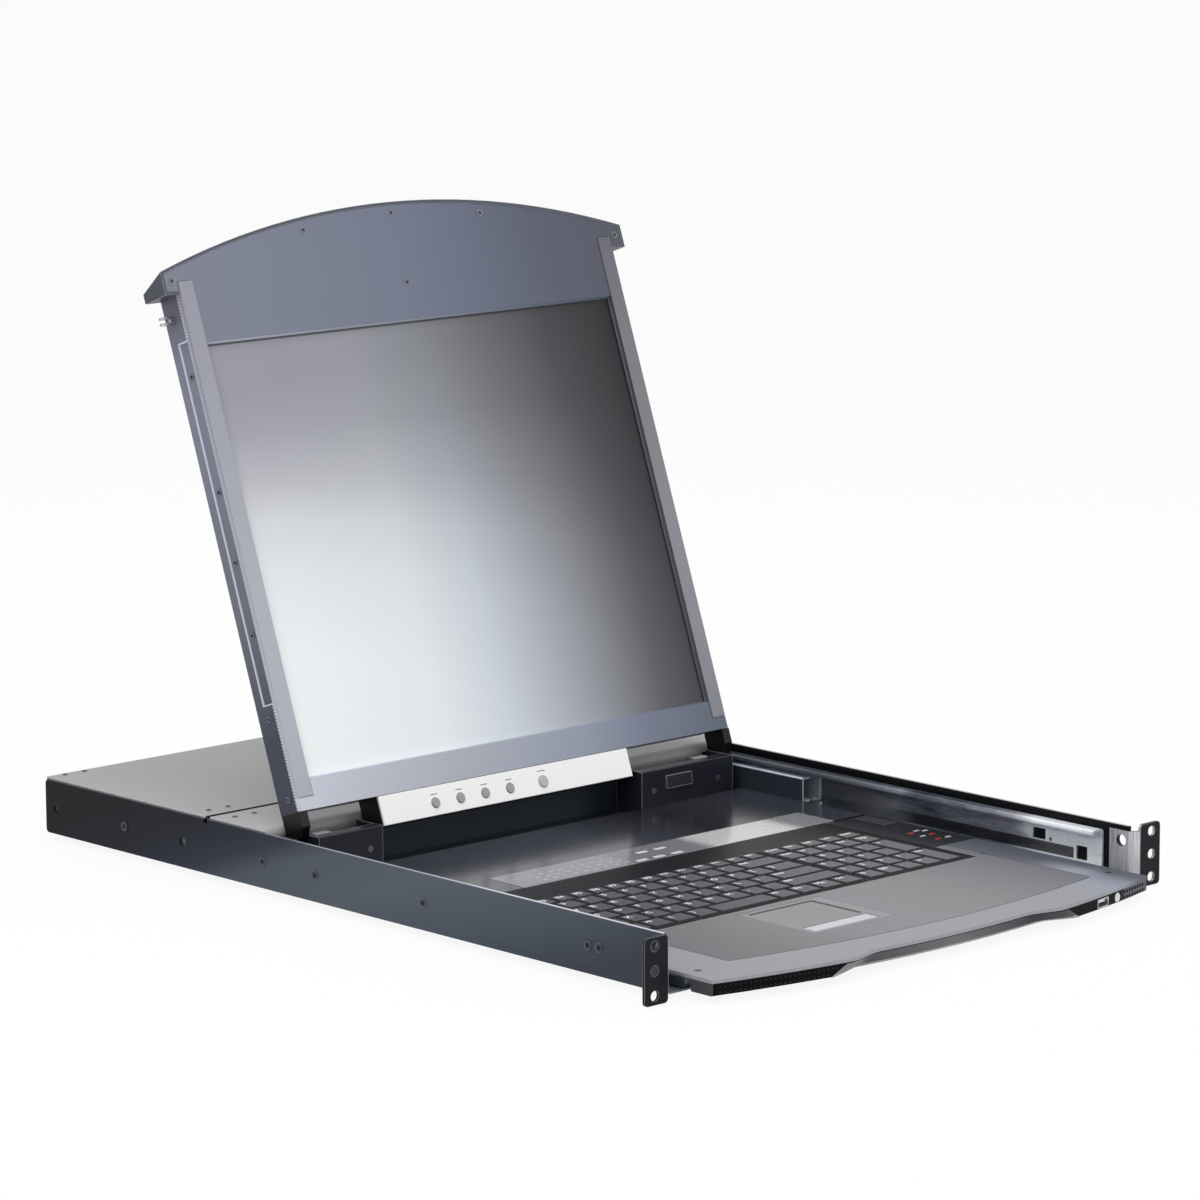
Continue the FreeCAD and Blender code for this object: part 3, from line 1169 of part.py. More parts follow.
def middle_cover():
    """The cover at the rear of the tray, with its front edge rolled down."""
    roll = MIDDLE_COVER_ROLL
    y0 = MIDDLE_COVER_START
    top = COVER_TOP
    bottom = COVER_BOTTOM
    nose = top - MIDDLE_COVER_NOSE
    sheet = COVER_SHEET
    lean = math.sqrt(0.5)
    x0 = -COVER_HALF
    edges = [
        line((x0, TRAY_END, bottom), (x0, TRAY_END, top)),
        line((x0, TRAY_END, top), (x0, y0 + roll, top)),
        arc((x0, y0 + roll, top),
            (x0, y0 + roll - roll * lean, top - roll + roll * lean), (x0, y0, top - roll)),
        line((x0, y0, top - roll), (x0, y0, nose)),
        line((x0, y0, nose), (x0, y0 + sheet, nose)),
        line((x0, y0 + sheet, nose), (x0, y0 + sheet, top - roll)),
        arc((x0, y0 + sheet, top - roll),
            (x0, y0 + roll - (roll - sheet) * lean, top - roll + (roll - sheet) * lean),
            (x0, y0 + roll, bottom)),
        line((x0, y0 + roll, bottom), (x0, TRAY_END, bottom)),
    ]
    cover = outline(edges).extrude(V(2 * COVER_HALF, 0, 0))
    for side in (-1, 1):
        a = side * ARM_INNER - side * 2.5
        b = side * ARM_OUTER + side * 1.5
        cover = cover.cut(block(min(a, b), max(a, b), y0 - 1, y0 + sheet + 0.5, nose - 1,
                                top - roll))
        a = side * (SLIDE_INNER - 1.2)
        b = side * (COVER_HALF + 1)
        cover = cover.cut(block(min(a, b), max(a, b), y0 - 1, y0 + roll, nose - 1,
                                SLIDE_HALF_HEIGHT + 0.6))
        a = side * (HEM_INNER - COVER_SIDE_GAP)
        cover = cover.cut(block(min(a, b), max(a, b), y0 - 1, y0 + roll + 1, nose - 1, bottom))
    return cover


def tray_screws():
    """Screws on the faces of the hinge boxes and along the middle cover."""
    heads = []
    for x in (15.2 - BOX_OUTER, BAR_LEFT - BOX_GAP - 11.5, BAR_RIGHT + BOX_GAP + 11.5,
              BOX_OUTER - 15.2):
        heads.append(rod((x, BOX_FRONT, 3.8), (0, -1, 0), SMALL_SCREW_RADIUS, 0.6))
    for x in (13.0 - COVER_HALF, 30.0 - COVER_HALF, COVER_HALF - 30.0, COVER_HALF - 13.0):
        heads.append(rod((x, TRAY_END - 12, COVER_TOP), (0, 0, 1), SMALL_SCREW_RADIUS, 0.5))
    return heads


# ---------------------------------------------------------------- display
def back_shell():
    """The rear housing of the display: a shallow open box with latch slots in its sides."""
    shell = block(-LID_HALF, LID_HALF, GLASS_FACE, LID_BACK, LID_BOTTOM, LID_TOP)
    shell = round_edges(shell, 1.5, lambda a, b: a.y > LID_BACK - 1e-4 and b.y > LID_BACK - 1e-4)
    inside = block(-LID_HALF + LID_SHELL, LID_HALF - LID_SHELL, GLASS_FACE - 1,
                   LID_BACK - LID_SHELL, LID_BOTTOM + LID_SHELL, LID_TOP - LID_SHELL)
    shell = shell.cut(inside).fuse(latch_guides())
    for side in (-1, 1):
        shell = shell.cut(latch_box(side, LATCH_CLEARANCE, 3.0))
        a = side * (LID_HALF - SIDE_SLOT_DEPTH)
        b = side * (LID_HALF + 1)
        shell = shell.cut(block(min(a, b), max(a, b), GLASS_FACE + 0.8, GLASS_FACE + 10.4,
                                SIDE_SLOT_BOTTOM, SIDE_SLOT_TOP))
    vents = []
    for i in range(15):
        x = (i - 7) * (LID_WIDTH - 164.0) / 14
        for z in (LID_BOTTOM + 38.6, LID_TOP - 52.3):
            vents.append(block(x - 5, x + 5, LID_BACK - LID_SHELL - 1, LID_BACK + 1, z, z + 3))
    return shell.cut(Part.makeCompound(vents))


def latch_box(side, margin, extra):
    """The room a latch takes, on either side of the display."""
    inner = LID_HALF + LATCH_REACH - LATCH_LENGTH
    a = side * (inner - extra)
    b = side * (LID_HALF + LATCH_REACH + extra)
    return block(min(a, b), max(a, b), LATCH_Y - LATCH_SHEET / 2 - margin,
                 LATCH_Y + LATCH_SHEET / 2 + margin, LATCH_Z - LATCH_HEIGHT / 2 - margin,
                 LATCH_Z + LATCH_HEIGHT / 2 + margin)


def latch():
    """The right latch: a flat sprung finger that ends in two prongs."""
    finger = latch_box(1, 0.0, 0.0)
    tip = LID_HALF + LATCH_REACH
    low = LATCH_Z - LATCH_HEIGHT / 2
    finger = round_edges(finger, 0.8, lambda a, b: along(1, a, b) and a.x > tip - 0.1)
    slot = block(tip - 8.0, tip + 1, LATCH_Y - LATCH_SHEET, LATCH_Y + LATCH_SHEET,
                 LATCH_Z - LATCH_SLOT / 2, LATCH_Z + LATCH_SLOT / 2)
    head = block(tip - LATCH_LENGTH, tip - LATCH_LENGTH + 3, LATCH_Y - LATCH_SHEET / 2 - 1.5,
                 LATCH_Y + LATCH_SHEET / 2 + 1.5, low - 1.5, low + LATCH_HEIGHT + 1.5)
    return finger.cut(slot).fuse(head).removeSplitter()


def latch_guides():
    """The blocks inside the rear housing in which the two latches slide."""
    guides = []
    for side in (-1, 1):
        a = side * (LID_HALF - LID_SHELL)
        b = side * (LID_HALF - LID_SHELL - 6)
        guides.append(block(min(a, b), max(a, b), LATCH_Y - 3.5, LID_BACK - LID_SHELL,
                            LATCH_Z - LATCH_HEIGHT / 2 - 2.5, LATCH_Z + LATCH_HEIGHT / 2 + 2.5))
    return guides


def front_frame():
    """The frame around the screen, with a plate below it and a strip down each side."""
    frame = block(-LID_HALF, LID_HALF, SEAT_FACE, GLASS_FACE, LID_BOTTOM, LID_TOP)
    half = SCREEN_WIDTH / 2
    bevel = 0.9
    front = [(-half - bevel, SCREEN_BOTTOM - bevel), (half + bevel, SCREEN_BOTTOM - bevel),
             (half + bevel, SCREEN_TOP + bevel), (-half - bevel, SCREEN_TOP + bevel)]
    back = [(-half, SCREEN_BOTTOM), (half, SCREEN_BOTTOM), (half, SCREEN_TOP),
            (-half, SCREEN_TOP)]
    wires = []
    for points, y in ((front, SEAT_FACE - 0.01), (back, GLASS_FACE + 0.01)):
        corners = [V(x, y, z) for x, z in points]
        wires.append(Part.makePolygon(corners + corners[:1]))
    frame = frame.cut(Part.makeLoft(wires, True, True))
    inner = STRIP_INNER - PLATE_GAP
    face = -LID_FACE
    low = block(-LID_HALF + PLATE_GAP, LID_HALF - PLATE_GAP, face, SEAT_FACE, LID_BOTTOM,
                SIDE_STRIP_BOTTOM - PLATE_GAP)
    high = block(-inner, inner, face, SEAT_FACE, LID_BOTTOM, SCREEN_BOTTOM - 1.2)
    frame = frame.fuse(low.fuse(high).removeSplitter())
    for side in (-1, 1):
        a = side * STRIP_INNER
        b = side * STRIP_OUTER
        bar = block(min(a, b), max(a, b), face - SIDE_STRIP_PROUD, SEAT_FACE,
                    SIDE_STRIP_BOTTOM, SIDE_STRIP_TOP)
        bar = round_edges(bar, 0.4, lambda p, q: p.y < face and q.y < face)
        frame = frame.fuse(bar)
    return frame.removeSplitter()


def screen():
    """The display module: a glass face on a metal frame."""
    half = SCREEN_WIDTH / 2 + PANEL_MARGIN
    return block(-half, half, GLASS_FACE, GLASS_FACE + PANEL_THICKNESS,
                 SCREEN_BOTTOM - PANEL_MARGIN, SCREEN_BOTTOM + SCREEN_HEIGHT + PANEL_MARGIN)


def driver_board():
    """The display's circuit board, on standoffs from the rear housing."""
    inner = LID_BACK - LID_SHELL
    face = inner - 6.2
    left = DRIVER_CENTRE_X - DRIVER_WIDTH / 2
    right = DRIVER_CENTRE_X + DRIVER_WIDTH / 2
    low = LID_BOTTOM + DRIVER_RISE
    high = low + DRIVER_HEIGHT
    inset = 2 * STANDOFF_RADIUS
    board = block(left, right, face, face + BOARD_SHEET, low, high)
    for x in (left + inset, right - inset):
        for z in (low + inset, high - inset):
            board = board.fuse(rod((x, face + BOARD_SHEET, z), (0, 1, 0), STANDOFF_RADIUS,
                                   inner - face - BOARD_SHEET))
    for x, width in ((left + 0.27 * DRIVER_WIDTH, 28), (left + 0.67 * DRIVER_WIDTH, 20)):
        board = board.fuse(block(x, x + width, face + BOARD_SHEET, face + BOARD_SHEET + 2.4,
                                 low + 30, low + 30 + width))
    return board.removeSplitter()


def cap_wire(inset, drop, y):
    """The outline of the cap at one depth: a flat foot, short ends and a long arch."""
    half = CAP_WIDTH / 2 - inset
    low = LID_TOP + inset
    shoulder = LID_TOP + CAP_SHOULDER - drop - inset * 0.7
    crown = LID_TOP + CAP_SHOULDER + CAP_RISE - drop - inset
    edges = [
        line((-half, y, low), (half, y, low)),
        line((half, y, low), (half, y, shoulder)),
        arc((half, y, shoulder), (0, y, crown), (-half, y, shoulder)),
        line((-half, y, shoulder), (-half, y, low)),
    ]
    return Part.Wire(edges)


def cap():
    """The arched cap above the screen: a hollow moulding with a seat for its plate."""
    solid = Part.makeLoft([cap_wire(0, 0, -LID_FACE), cap_wire(0, CAP_SETBACK, LID_BACK)],
                          True, True)
    seat = Part.Face(cap_wire(CAP_RIM, 0, -LID_FACE - 1))
    solid = solid.cut(seat.extrude(V(0, SEAT_FACE + LID_FACE + 1, 0)))
    solid = solid.cut(block(-LID_HALF - PLATE_GAP, LID_HALF + PLATE_GAP, -LID_FACE - 1,
                            SEAT_FACE, LID_TOP - 1, SIDE_STRIP_TOP + PLATE_GAP))
    hollow = cap_wire(CAP_RIM + CAP_SHELL, 3.0, -LID_FACE - 1)
    return solid.cut(Part.Face(hollow).extrude(V(0, LID_THICKNESS / 2, 0)))


def cap_plate():
    """The flat plate that fills the cap and reaches down to the top of the screen."""
    y = -LID_FACE + CAP_PLATE_DROP
    depth = V(0, PLATE_SHEET, 0)
    arch = Part.Face(cap_wire(CAP_RIM + PLATE_GAP, 0, y)).extrude(depth)
    inner = STRIP_INNER - PLATE_GAP
    apron = block(-inner, inner, y, y + PLATE_SHEET, SCREEN_TOP + 1.2, LID_TOP + 2 * CAP_RIM + 1)
    plate = arch.fuse(apron).removeSplitter()
    for side in (-1, 1):
        a = side * inner
        b = side * (LID_HALF + PLATE_GAP)
        plate = plate.cut(block(min(a, b), max(a, b), y - 1, SEAT_FACE + 1, LID_TOP - 1,
                                SIDE_STRIP_TOP + PLATE_GAP))
    return plate


BUTTON_PLACES = tuple((BUTTON_FIRST + BUTTON_SPACING * i, BUTTON_RADIUS)
                      for i in range(BUTTON_COUNT)) + ((POWER_BUTTON_X, POWER_BUTTON_RADIUS),)


def bar_housing():
    """The body of the control bar under the screen, open at the front."""
    back = BAR_DEPTH - LID_FACE
    front = -LID_FACE + BAR_FACE_SHEET
    body = block(BAR_LEFT, BAR_RIGHT, front, back, BAR_BOTTOM, LID_BOTTOM)
    inside = block(BAR_LEFT + 1.6, BAR_RIGHT - 1.6, front - 1, back - 1.6, BAR_BOTTOM + 1.6,
                   LID_BOTTOM - 1.6)
    body = body.cut(inside)
    return round_edges(body, 3.0, lambda a, b: along(0, a, b) and a.z < BAR_BOTTOM + 1e-4
                       and a.y > back - 1e-4)


def bar_face():
    """The light face of the control bar, drilled for its buttons."""
    face = block(BAR_LEFT + 0.6, BAR_RIGHT - 0.6, -LID_FACE, -LID_FACE + BAR_FACE_SHEET,
                 BAR_BOTTOM, LID_BOTTOM - 0.3)
    face = round_edges(face, 0.5, lambda a, b: a.y < -LID_FACE + 1e-4 and b.y < -LID_FACE + 1e-4)
    for x, radius in BUTTON_PLACES:
        face = face.cut(rod((x, -LID_FACE - 1, BUTTON_Z), (0, 1, 0), radius + BUTTON_CLEARANCE,
                            BAR_FACE_SHEET + 2))
    return face


def bar_board():
    """The small board behind the buttons."""
    front = -LID_FACE - BUTTON_PROUD + BUTTON_LENGTH + BUTTON_TRAVEL + 0.2
    return block(BAR_LEFT + 1.6, BAR_RIGHT - 1.6, front, front + BOARD_SHEET, BAR_BOTTOM + 1.6,
                 LID_BOTTOM - 1.6)


def bar_button(x, radius):
    """One round button of the control bar, with a collar behind the face."""
    start = -LID_FACE - BUTTON_PROUD
    stem = rod((x, start, BUTTON_Z), (0, 1, 0), radius, BUTTON_LENGTH)
    collar = rod((x, -LID_FACE + BAR_FACE_SHEET + 0.05, BUTTON_Z), (0, 1, 0), radius + 1.2,
                 start + BUTTON_LENGTH + LID_FACE - BAR_FACE_SHEET - 0.05)
    stem = stem.makeChamfer(0.4, [e for e in stem.Edges if abs(e.BoundBox.YMax - start) < 1e-6])
    return stem.fuse(collar).removeSplitter()


def hinge_arm():
    """The right hinge arm: a bored knuckle on a bar that is fixed under the display."""
    knuckle = rod((ARM_INNER, 0, 0), (1, 0, 0), KNUCKLE_RADIUS, ARM_WIDTH)
    corners = ((-ARM_FRONT, LID_BOTTOM), (-ARM_FRONT, LID_BOTTOM / 2),
               (-KNUCKLE_RADIUS, 0), (ARM_BACK, 0), (ARM_BACK, LID_BOTTOM))
    bar = prism([(ARM_INNER, y, z) for y, z in corners], (ARM_WIDTH, 0, 0))
    arm = knuckle.fuse(bar).removeSplitter()
    bore = rod((ARM_INNER - 1, 0, 0), (1, 0, 0), PIN_RADIUS + PIN_CLEARANCE, ARM_WIDTH + 2)
    return arm.cut(bore)


def lid_screws():
    """Small screws on the cap plate and in the slots along the sides of the display."""
    plate = -LID_FACE + CAP_PLATE_DROP
    places = [(0.0, CAP_SCREW_TOP_RISE), (0.0, -CAP_SCREW_FALL)]
    for side in (-1, 1):
        places.append((side * (CAP_WIDTH / 2 - CAP_SCREW_INSET), CAP_SCREW_RISE))
        places.append((side * CAP_SCREW_SPREAD, CAP_SCREW_SPREAD_RISE))
    heads = [rod((x, plate, LID_TOP + rise), (0, -1, 0), CAP_SCREW_RADIUS, 0.4)
             for x, rise in places]
    in_slots = [LID_BOTTOM + rise for rise in SLOT_SCREWS_RISE]
    in_slots += [LID_TOP - fall for fall in SLOT_SCREWS_FALL]
    for side in (-1, 1):
        for z in in_slots:
            x = side * (LID_HALF - SIDE_SLOT_DEPTH)
            heads.append(rod((x, GLASS_FACE + 5.6, z), (side, 0, 0), SMALL_SCREW_RADIUS, 0.8))
        for rise in SIDE_SCREWS_RISE:
            heads.append(rod((side * LID_HALF, GLASS_FACE + 7.5, LID_BOTTOM + rise), (side, 0, 0),
                             SMALL_SCREW_RADIUS, 0.8))
    return heads


# ---------------------------------------------------------------- everything
def build():
    """Writes every part in its resting place."""
    save_pair("side_walls", side_wall())
    save_pair("rack_ears", ear())
    save_pair("slide_outer_members", slide_outer())
    save_pair("slide_inner_members", slide_inner())
    cage = ball_cage()
    save("ball_cages", *(cage + [mirrored(solid) for solid in cage]))
    save("bottom_pan", bottom_pan())
    save("electronics_bay", electronics_bay())
    save("rear_panel", rear_panel())
    save("rear_cover", rear_cover())
    heads = wall_screws()
    heads += [mirrored(head) for head in heads]
    save("chassis_screws", *(heads + cover_screws()))
    save("console_ports", *ports())
    save("power_inlet", power_inlet())
    save("switch_housing", switch_housing())
    save("switch_rocker", switch_rocker())
    save("console_board", console_board())
    save("power_supply", power_supply())

    save("tray_pan", tray_pan())
    save("palm_rest", palm_rest())
    save("touchpad", touchpad())
    save("touch_button_left", touch_button(-1))
    save("touch_button_right", touch_button(1))
    save("front_bezel", front_bezel())
    save("handle_lip", handle_lip())
    save("usb_socket", usb_socket())
    save("reset_button", reset_button())
    save("keyboard_base", keyboard_base())
    save("keyboard_frame", keyboard_frame())
    for node, spots in key_groups().items():
        save(node, *[key(*spot) for spot in spots])
    save("port_strip", port_strip())
    save("lock_panel", lock_panel())
    save("rear_deck", rear_deck())
    save("hinge_boxes", hinge_box(-BOX_OUTER, BAR_LEFT - BOX_GAP, -1),
         hinge_box(BAR_RIGHT + BOX_GAP, BOX_OUTER, 1))
    save_pair("hinge_pivots", hinge_pivot())
    save("tray_box", tray_box())
    save("middle_cover", middle_cover())
    save("tray_screws", *tray_screws())

    save("lcd_back_shell", raised(back_shell()))
    save("lcd_front_frame", raised(front_frame()))
    save("lcd_screen", raised(screen()))
    save("lcd_boards", raised(driver_board()), raised(bar_board()))
    save("lcd_cap", raised(cap()))
    save("lcd_cap_plate", raised(cap_plate()))
    save("latch_right", raised(latch()))
    save("latch_left", raised(mirrored(latch())))
    save("control_bar", raised(bar_housing()))
    save("control_face", raised(bar_face()))
    names = ("menu_button_1", "menu_button_2", "menu_button_3", "menu_button_4", "power_button")
    for name, place in zip(names, BUTTON_PLACES):
        save(name, raised(bar_button(*place)))
    save("hinge_arms", raised(hinge_arm()), raised(mirrored(hinge_arm())))
    save("lid_screws", *[raised(head) for head in lid_screws()])


build()
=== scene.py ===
import json
import math
import random

import bmesh
import bpy
from mathutils import Matrix, Vector

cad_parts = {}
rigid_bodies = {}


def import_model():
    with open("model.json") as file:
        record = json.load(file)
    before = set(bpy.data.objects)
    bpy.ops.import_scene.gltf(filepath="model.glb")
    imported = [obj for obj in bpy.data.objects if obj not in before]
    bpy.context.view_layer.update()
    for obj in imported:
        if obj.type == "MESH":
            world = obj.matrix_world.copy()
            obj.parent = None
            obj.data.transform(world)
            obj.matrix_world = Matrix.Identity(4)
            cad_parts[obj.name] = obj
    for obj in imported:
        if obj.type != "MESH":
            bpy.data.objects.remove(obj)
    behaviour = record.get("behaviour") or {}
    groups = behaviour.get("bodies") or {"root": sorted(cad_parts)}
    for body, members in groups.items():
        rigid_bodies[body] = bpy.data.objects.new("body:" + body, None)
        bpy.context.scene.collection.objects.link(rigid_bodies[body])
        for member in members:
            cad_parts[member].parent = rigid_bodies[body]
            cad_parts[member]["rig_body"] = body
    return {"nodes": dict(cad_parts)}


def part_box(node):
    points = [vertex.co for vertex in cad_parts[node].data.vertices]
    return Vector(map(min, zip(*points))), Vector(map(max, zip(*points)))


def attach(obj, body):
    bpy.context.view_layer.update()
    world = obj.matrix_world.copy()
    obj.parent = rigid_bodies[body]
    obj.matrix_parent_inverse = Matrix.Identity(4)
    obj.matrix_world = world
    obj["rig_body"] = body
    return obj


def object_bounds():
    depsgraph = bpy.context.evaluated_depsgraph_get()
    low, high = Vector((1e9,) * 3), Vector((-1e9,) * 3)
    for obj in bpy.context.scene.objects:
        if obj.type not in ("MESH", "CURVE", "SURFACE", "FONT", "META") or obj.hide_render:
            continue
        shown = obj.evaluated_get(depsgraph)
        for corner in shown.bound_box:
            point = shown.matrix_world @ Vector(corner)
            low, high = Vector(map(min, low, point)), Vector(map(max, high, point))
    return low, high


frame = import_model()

bl_info = {
    "name": "Console Drawer",
    "version": (1, 0, 0),
    "blender": (4, 5, 0),
    "location": "View3D > Sidebar > Drawer",
    "description": "Dresses a rackmount console drawer: metals, mouldings, keys and screen",
    "category": "Object",
}

CAD_BOX = [list(corner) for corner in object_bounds()]
MM = 0.001
TILT = math.radians(19.6)  # how far the display leans back at rest
HINGE = Vector((0.0, 0.3846, 0.0112))
DISPLAY = Matrix.Translation(HINGE) @ Matrix.Rotation(-TILT, 4, "X")
QUARTER = math.radians(90)
EVEN = (1, 1, 1)  # metal whose grain runs no special way
SOFT = 0.0004  # half the width of a mask's soft end
# Painted shadow in the gaps at the covers' edges.
GAP_SHADOW = (12, 12, 14)

# The sockets at the rear, in millimetres: the first one's middle, how far apart and how high.
FIRST_PORT = -98.0
PORT_PITCH = 36.0
PORT_HEIGHT = 2.0

FLOOR_SIZE = 9.0
FLOOR_DROP = 0.0005
LIGHTS = (  # name, place, aim, size, power
    ("top_light", (-0.5, 0.3, 2.4), (0.0, 0.3, 0.0), 2.2, 30.0),
    ("front_light", (1.6, -2.2, 1.1), (0.0, 0.2, 0.1), 1.8, 15.0),
    ("left_light", (-2.6, -0.6, 1.2), (0.0, 0.2, 0.1), 1.6, 8.0))
ROOM_LIGHT = 0.6
CAMERA_PLACE = (-2.36946, -2.24707, 0.78945)
CAMERA_TURN = (42.953, 10.168, -0.243)  # yaw, pitch and roll in degrees
LENS = 154.896


# ------------------------------------------------------------------ shader maths
class Sock:
    """A shader socket that can be used in sums and products."""

    def __init__(self, paint, socket):
        self.paint = paint
        self.socket = socket

    def _math(self, operation, *values):
        return self.paint.node("ShaderNodeMath", {"operation": operation},
                               {i: v for i, v in enumerate(values)}, out=0)

    def __add__(self, other):
        return self._math("ADD", self, other)

    __radd__ = __add__

    def __sub__(self, other):
        return self._math("SUBTRACT", self, other)

    def __rsub__(self, other):
        return self._math("SUBTRACT", other, self)

    def __mul__(self, other):
        return self._math("MULTIPLY", self, other)

    __rmul__ = __mul__

    def __truediv__(self, other):
        return self._math("DIVIDE", self, other)

    def __abs__(self):
        return self._math("ABSOLUTE", self)

    def power(self, exponent):
        """Raised to a power."""
        return self._math("POWER", self, exponent)

    def mod(self, step):
        """Runs from 0 to step and back again, over and over."""
        return self._math("PINGPONG", self, step)

    def high(self, other):
        """The larger of the two."""
        return self._math("MAXIMUM", self, other)

    def step(self, low, high):
        """0 below low, 1 above high, smooth between."""
        return self.paint.node("ShaderNodeMapRange", {"interpolation_type": "SMOOTHSTEP"},
                               {0: self, 1: low, 2: high, 3: 0.0, 4: 1.0}, out=0)


class Paint:
    """One material and the nodes that it is made of."""

    def __init__(self, name):
        self.material = bpy.data.materials.new(name)
        self.material.use_nodes = True
        self.tree = self.material.node_tree
        self.shader = self.tree.nodes["Principled BSDF"]
        self.base = None

    def node(self, kind, settings, inputs, out=None):
        """Adds a node: its settings first, then the values or links of its sockets."""
        made = self.tree.nodes.new(kind)
        for key, value in settings.items():
            setattr(made, key, value)
        for key, value in inputs.items():
            if isinstance(value, Sock):
                self.tree.links.new(value.socket, made.inputs[key])
            else:
                made.inputs[key].default_value = value
        if out is None:
            return made
        return Sock(self, made.outputs[out])

    def place(self, scale=(1, 1, 1), turn=(0, 0, 0), shift=(0, 0, 0)):
        """Object coordinates, turned, scaled and shifted."""
        coords = self.node("ShaderNodeTexCoord", {}, {}, out="Object")
        return self.node("ShaderNodeMapping", {}, {
            "Vector": coords, "Location": shift, "Rotation": turn, "Scale": scale}, out=0)

    def split(self, vector):
        """The three parts of a vector."""
        made = self.node("ShaderNodeSeparateXYZ", {}, {0: vector})
        return [Sock(self, made.outputs[i]) for i in range(3)]

    def where(self):
        """How far a point is across the object, towards its rear and up."""
        return self.split(self.place())

    def noise(self, vector, scale, detail=3.0, roughness=0.5):
        """Soft noise from 0 to 1."""
        return self.node("ShaderNodeTexNoise", {}, {
            "Vector": vector, "Scale": scale, "Detail": detail, "Roughness": roughness},
            out="Fac")

    def ramp(self, factor, stops):
        """A colour ramp from (place, colour) pairs."""
        made = self.node("ShaderNodeValToRGB", {}, {"Fac": factor})
        band = made.color_ramp
        while len(band.elements) < len(stops):
            band.elements.new(0.5)
        for element, (place, colour) in zip(band.elements, stops):
            element.position = place
            element.color = (*colour, 1.0)
        return Sock(self, made.outputs["Color"])

    def mix(self, factor, a, b):
        """Mixes two colours."""
        made = self.tree.nodes.new("ShaderNodeMix")
        made.data_type = "RGBA"
        for key, value in ((0, factor), (6, a), (7, b)):
            if isinstance(value, Sock):
                self.tree.links.new(value.socket, made.inputs[key])
            elif key == 0:
                made.inputs[key].default_value = value
            else:
                made.inputs[key].default_value = (*value, 1.0)
        return Sock(self, made.outputs[2])

    def bump(self, height, distance, strength=1.0):
        """Bumps the surface by a height."""
        made = self.node("ShaderNodeBump", {}, {
            "Height": height, "Distance": distance, "Strength": strength}, out=0)
        self.tree.links.new(made.socket, self.shader.inputs["Normal"])

    def set(self, **values):
        """Sets or links the shader's own sockets, with _ for a space."""
        for key, value in values.items():
            socket = self.shader.inputs[key.replace("_", " ")]
            if isinstance(value, Sock):
                self.tree.links.new(value.socket, socket)
            elif socket.type == "RGBA":
                socket.default_value = (*value, 1.0)
            else:
                socket.default_value = value

    def lay(self, mask, colour):
        """Lays a colour over the base colour, where the mask is 1."""
        self.base = self.mix(mask, self.base, colour)
        self.set(Base_Color=self.base)

    def edge(self, radius):
        """1 along outward and inward edges, 0 on the open faces."""
        round_normal = self.node("ShaderNodeBevel", {"samples": 4}, {"Radius": radius}, out=0)
        flat_normal = self.node("ShaderNodeNewGeometry", {}, {}, out="Normal")
        match = self.node("ShaderNodeVectorMath", {"operation": "DOT_PRODUCT"},
                          {0: round_normal, 1: flat_normal}, out="Value")
        return (1.0 - match).step(0.02, 0.16)

    def tint_edges(self, radius, amount, *colour):
        """Lays a colour along the edges, a painted highlight where the colour is paler than the
        surface.
        """
        self.lay(self.edge(radius) * amount, tone(*colour))

    def facing(self):
        """The three parts of the surface's own direction."""
        return self.split(self.node("ShaderNodeNewGeometry", {}, {}, out="Normal"))

    def tones(self, factor, *stops):
        """A colour ramp from stops of place, red, green and blue."""
        return self.ramp(factor, [(place, tone(*colour)) for place, *colour in stops])

    def fade(self, value, low, high, *tones):
        """Even steps of colour from low to high, each given as red, green and blue."""
        last = len(tones) - 1
        return self.ramp((value - low) / (high - low), [
            (index / last, tone(*colour)) for index, colour in enumerate(tones)])

    def band(self, value, low, high, soft):
        """1 between low and high, with soft ends."""
        return value.step(low - soft, low + soft) * (1.0 - value.step(high - soft, high + soft))


def tone(red, green, blue):
    """A screen colour from 0 to 255 as the linear colour that the shaders take."""
    parts = []
    for part in (red, green, blue):
        part /= 255.0
        parts.append(part / 12.92 if part <= 0.04045 else ((part + 0.055) / 1.055) ** 2.4)
    return tuple(parts)


def shade(colour, factor):
    """The same colour, lighter or darker."""
    return tuple(min(1.0, part * factor) for part in colour)


def on_display(paint):
    """How far a point is across the display, towards its rear and up from its hinge."""
    return paint.split(paint.place(
        turn=(TILT, 0, 0), shift=-(Matrix.Rotation(TILT, 3, "X") @ HINGE)))


# ------------------------------------------------------------------ finishes
def powder_coat(name, colour, rough=0.42, edges=0.0, shine=0.25, edge_highlight_tone=None):
    """Fine-textured coat on sheet metal, with a painted highlight along its edges."""
    paint = Paint(name)
    spot = paint.place()
    cloud = paint.noise(spot, 7.0, 4.0)
    fleck = paint.noise(spot, 1400.0, 2.0)
    paint.base = paint.ramp(cloud * 0.7 + fleck * 0.3, [
        (0.30, shade(colour, 0.90)), (0.52, colour), (0.75, shade(colour, 1.12))])
    if edges:
        # Painted highlight along the edges.
        paint.lay(paint.edge(0.0009) * edges, edge_highlight_tone or shade(colour, 3.2))
    paint.set(Base_Color=paint.base, Specular_IOR_Level=shine,
              Roughness=rough + (fleck - 0.5) * 0.16 + (cloud - 0.5) * 0.08)
    paint.bump(fleck, 0.00005, 0.6)
    return paint


def plastic(name, colour, rough=0.5, grain=900.0, depth=0.00004, spread=0.08, shine=0.2):
    """Moulded plastic with a fine spark-eroded grain."""
    paint = Paint(name)
    spot = paint.place()
    grains = paint.noise(spot, grain, 3.0, 0.6)
    cloud = paint.noise(spot, 11.0, 3.0)
    paint.base = paint.ramp(cloud * 0.6 + grains * 0.4, [
        (0.3, shade(colour, 1.0 - spread)), (0.5, colour), (0.72, shade(colour, 1.0 + spread))])
    paint.set(Base_Color=paint.base, Specular_IOR_Level=shine,
              Roughness=rough + (grains - 0.5) * 0.18)
    paint.bump(grains, depth, 0.7)
    return paint


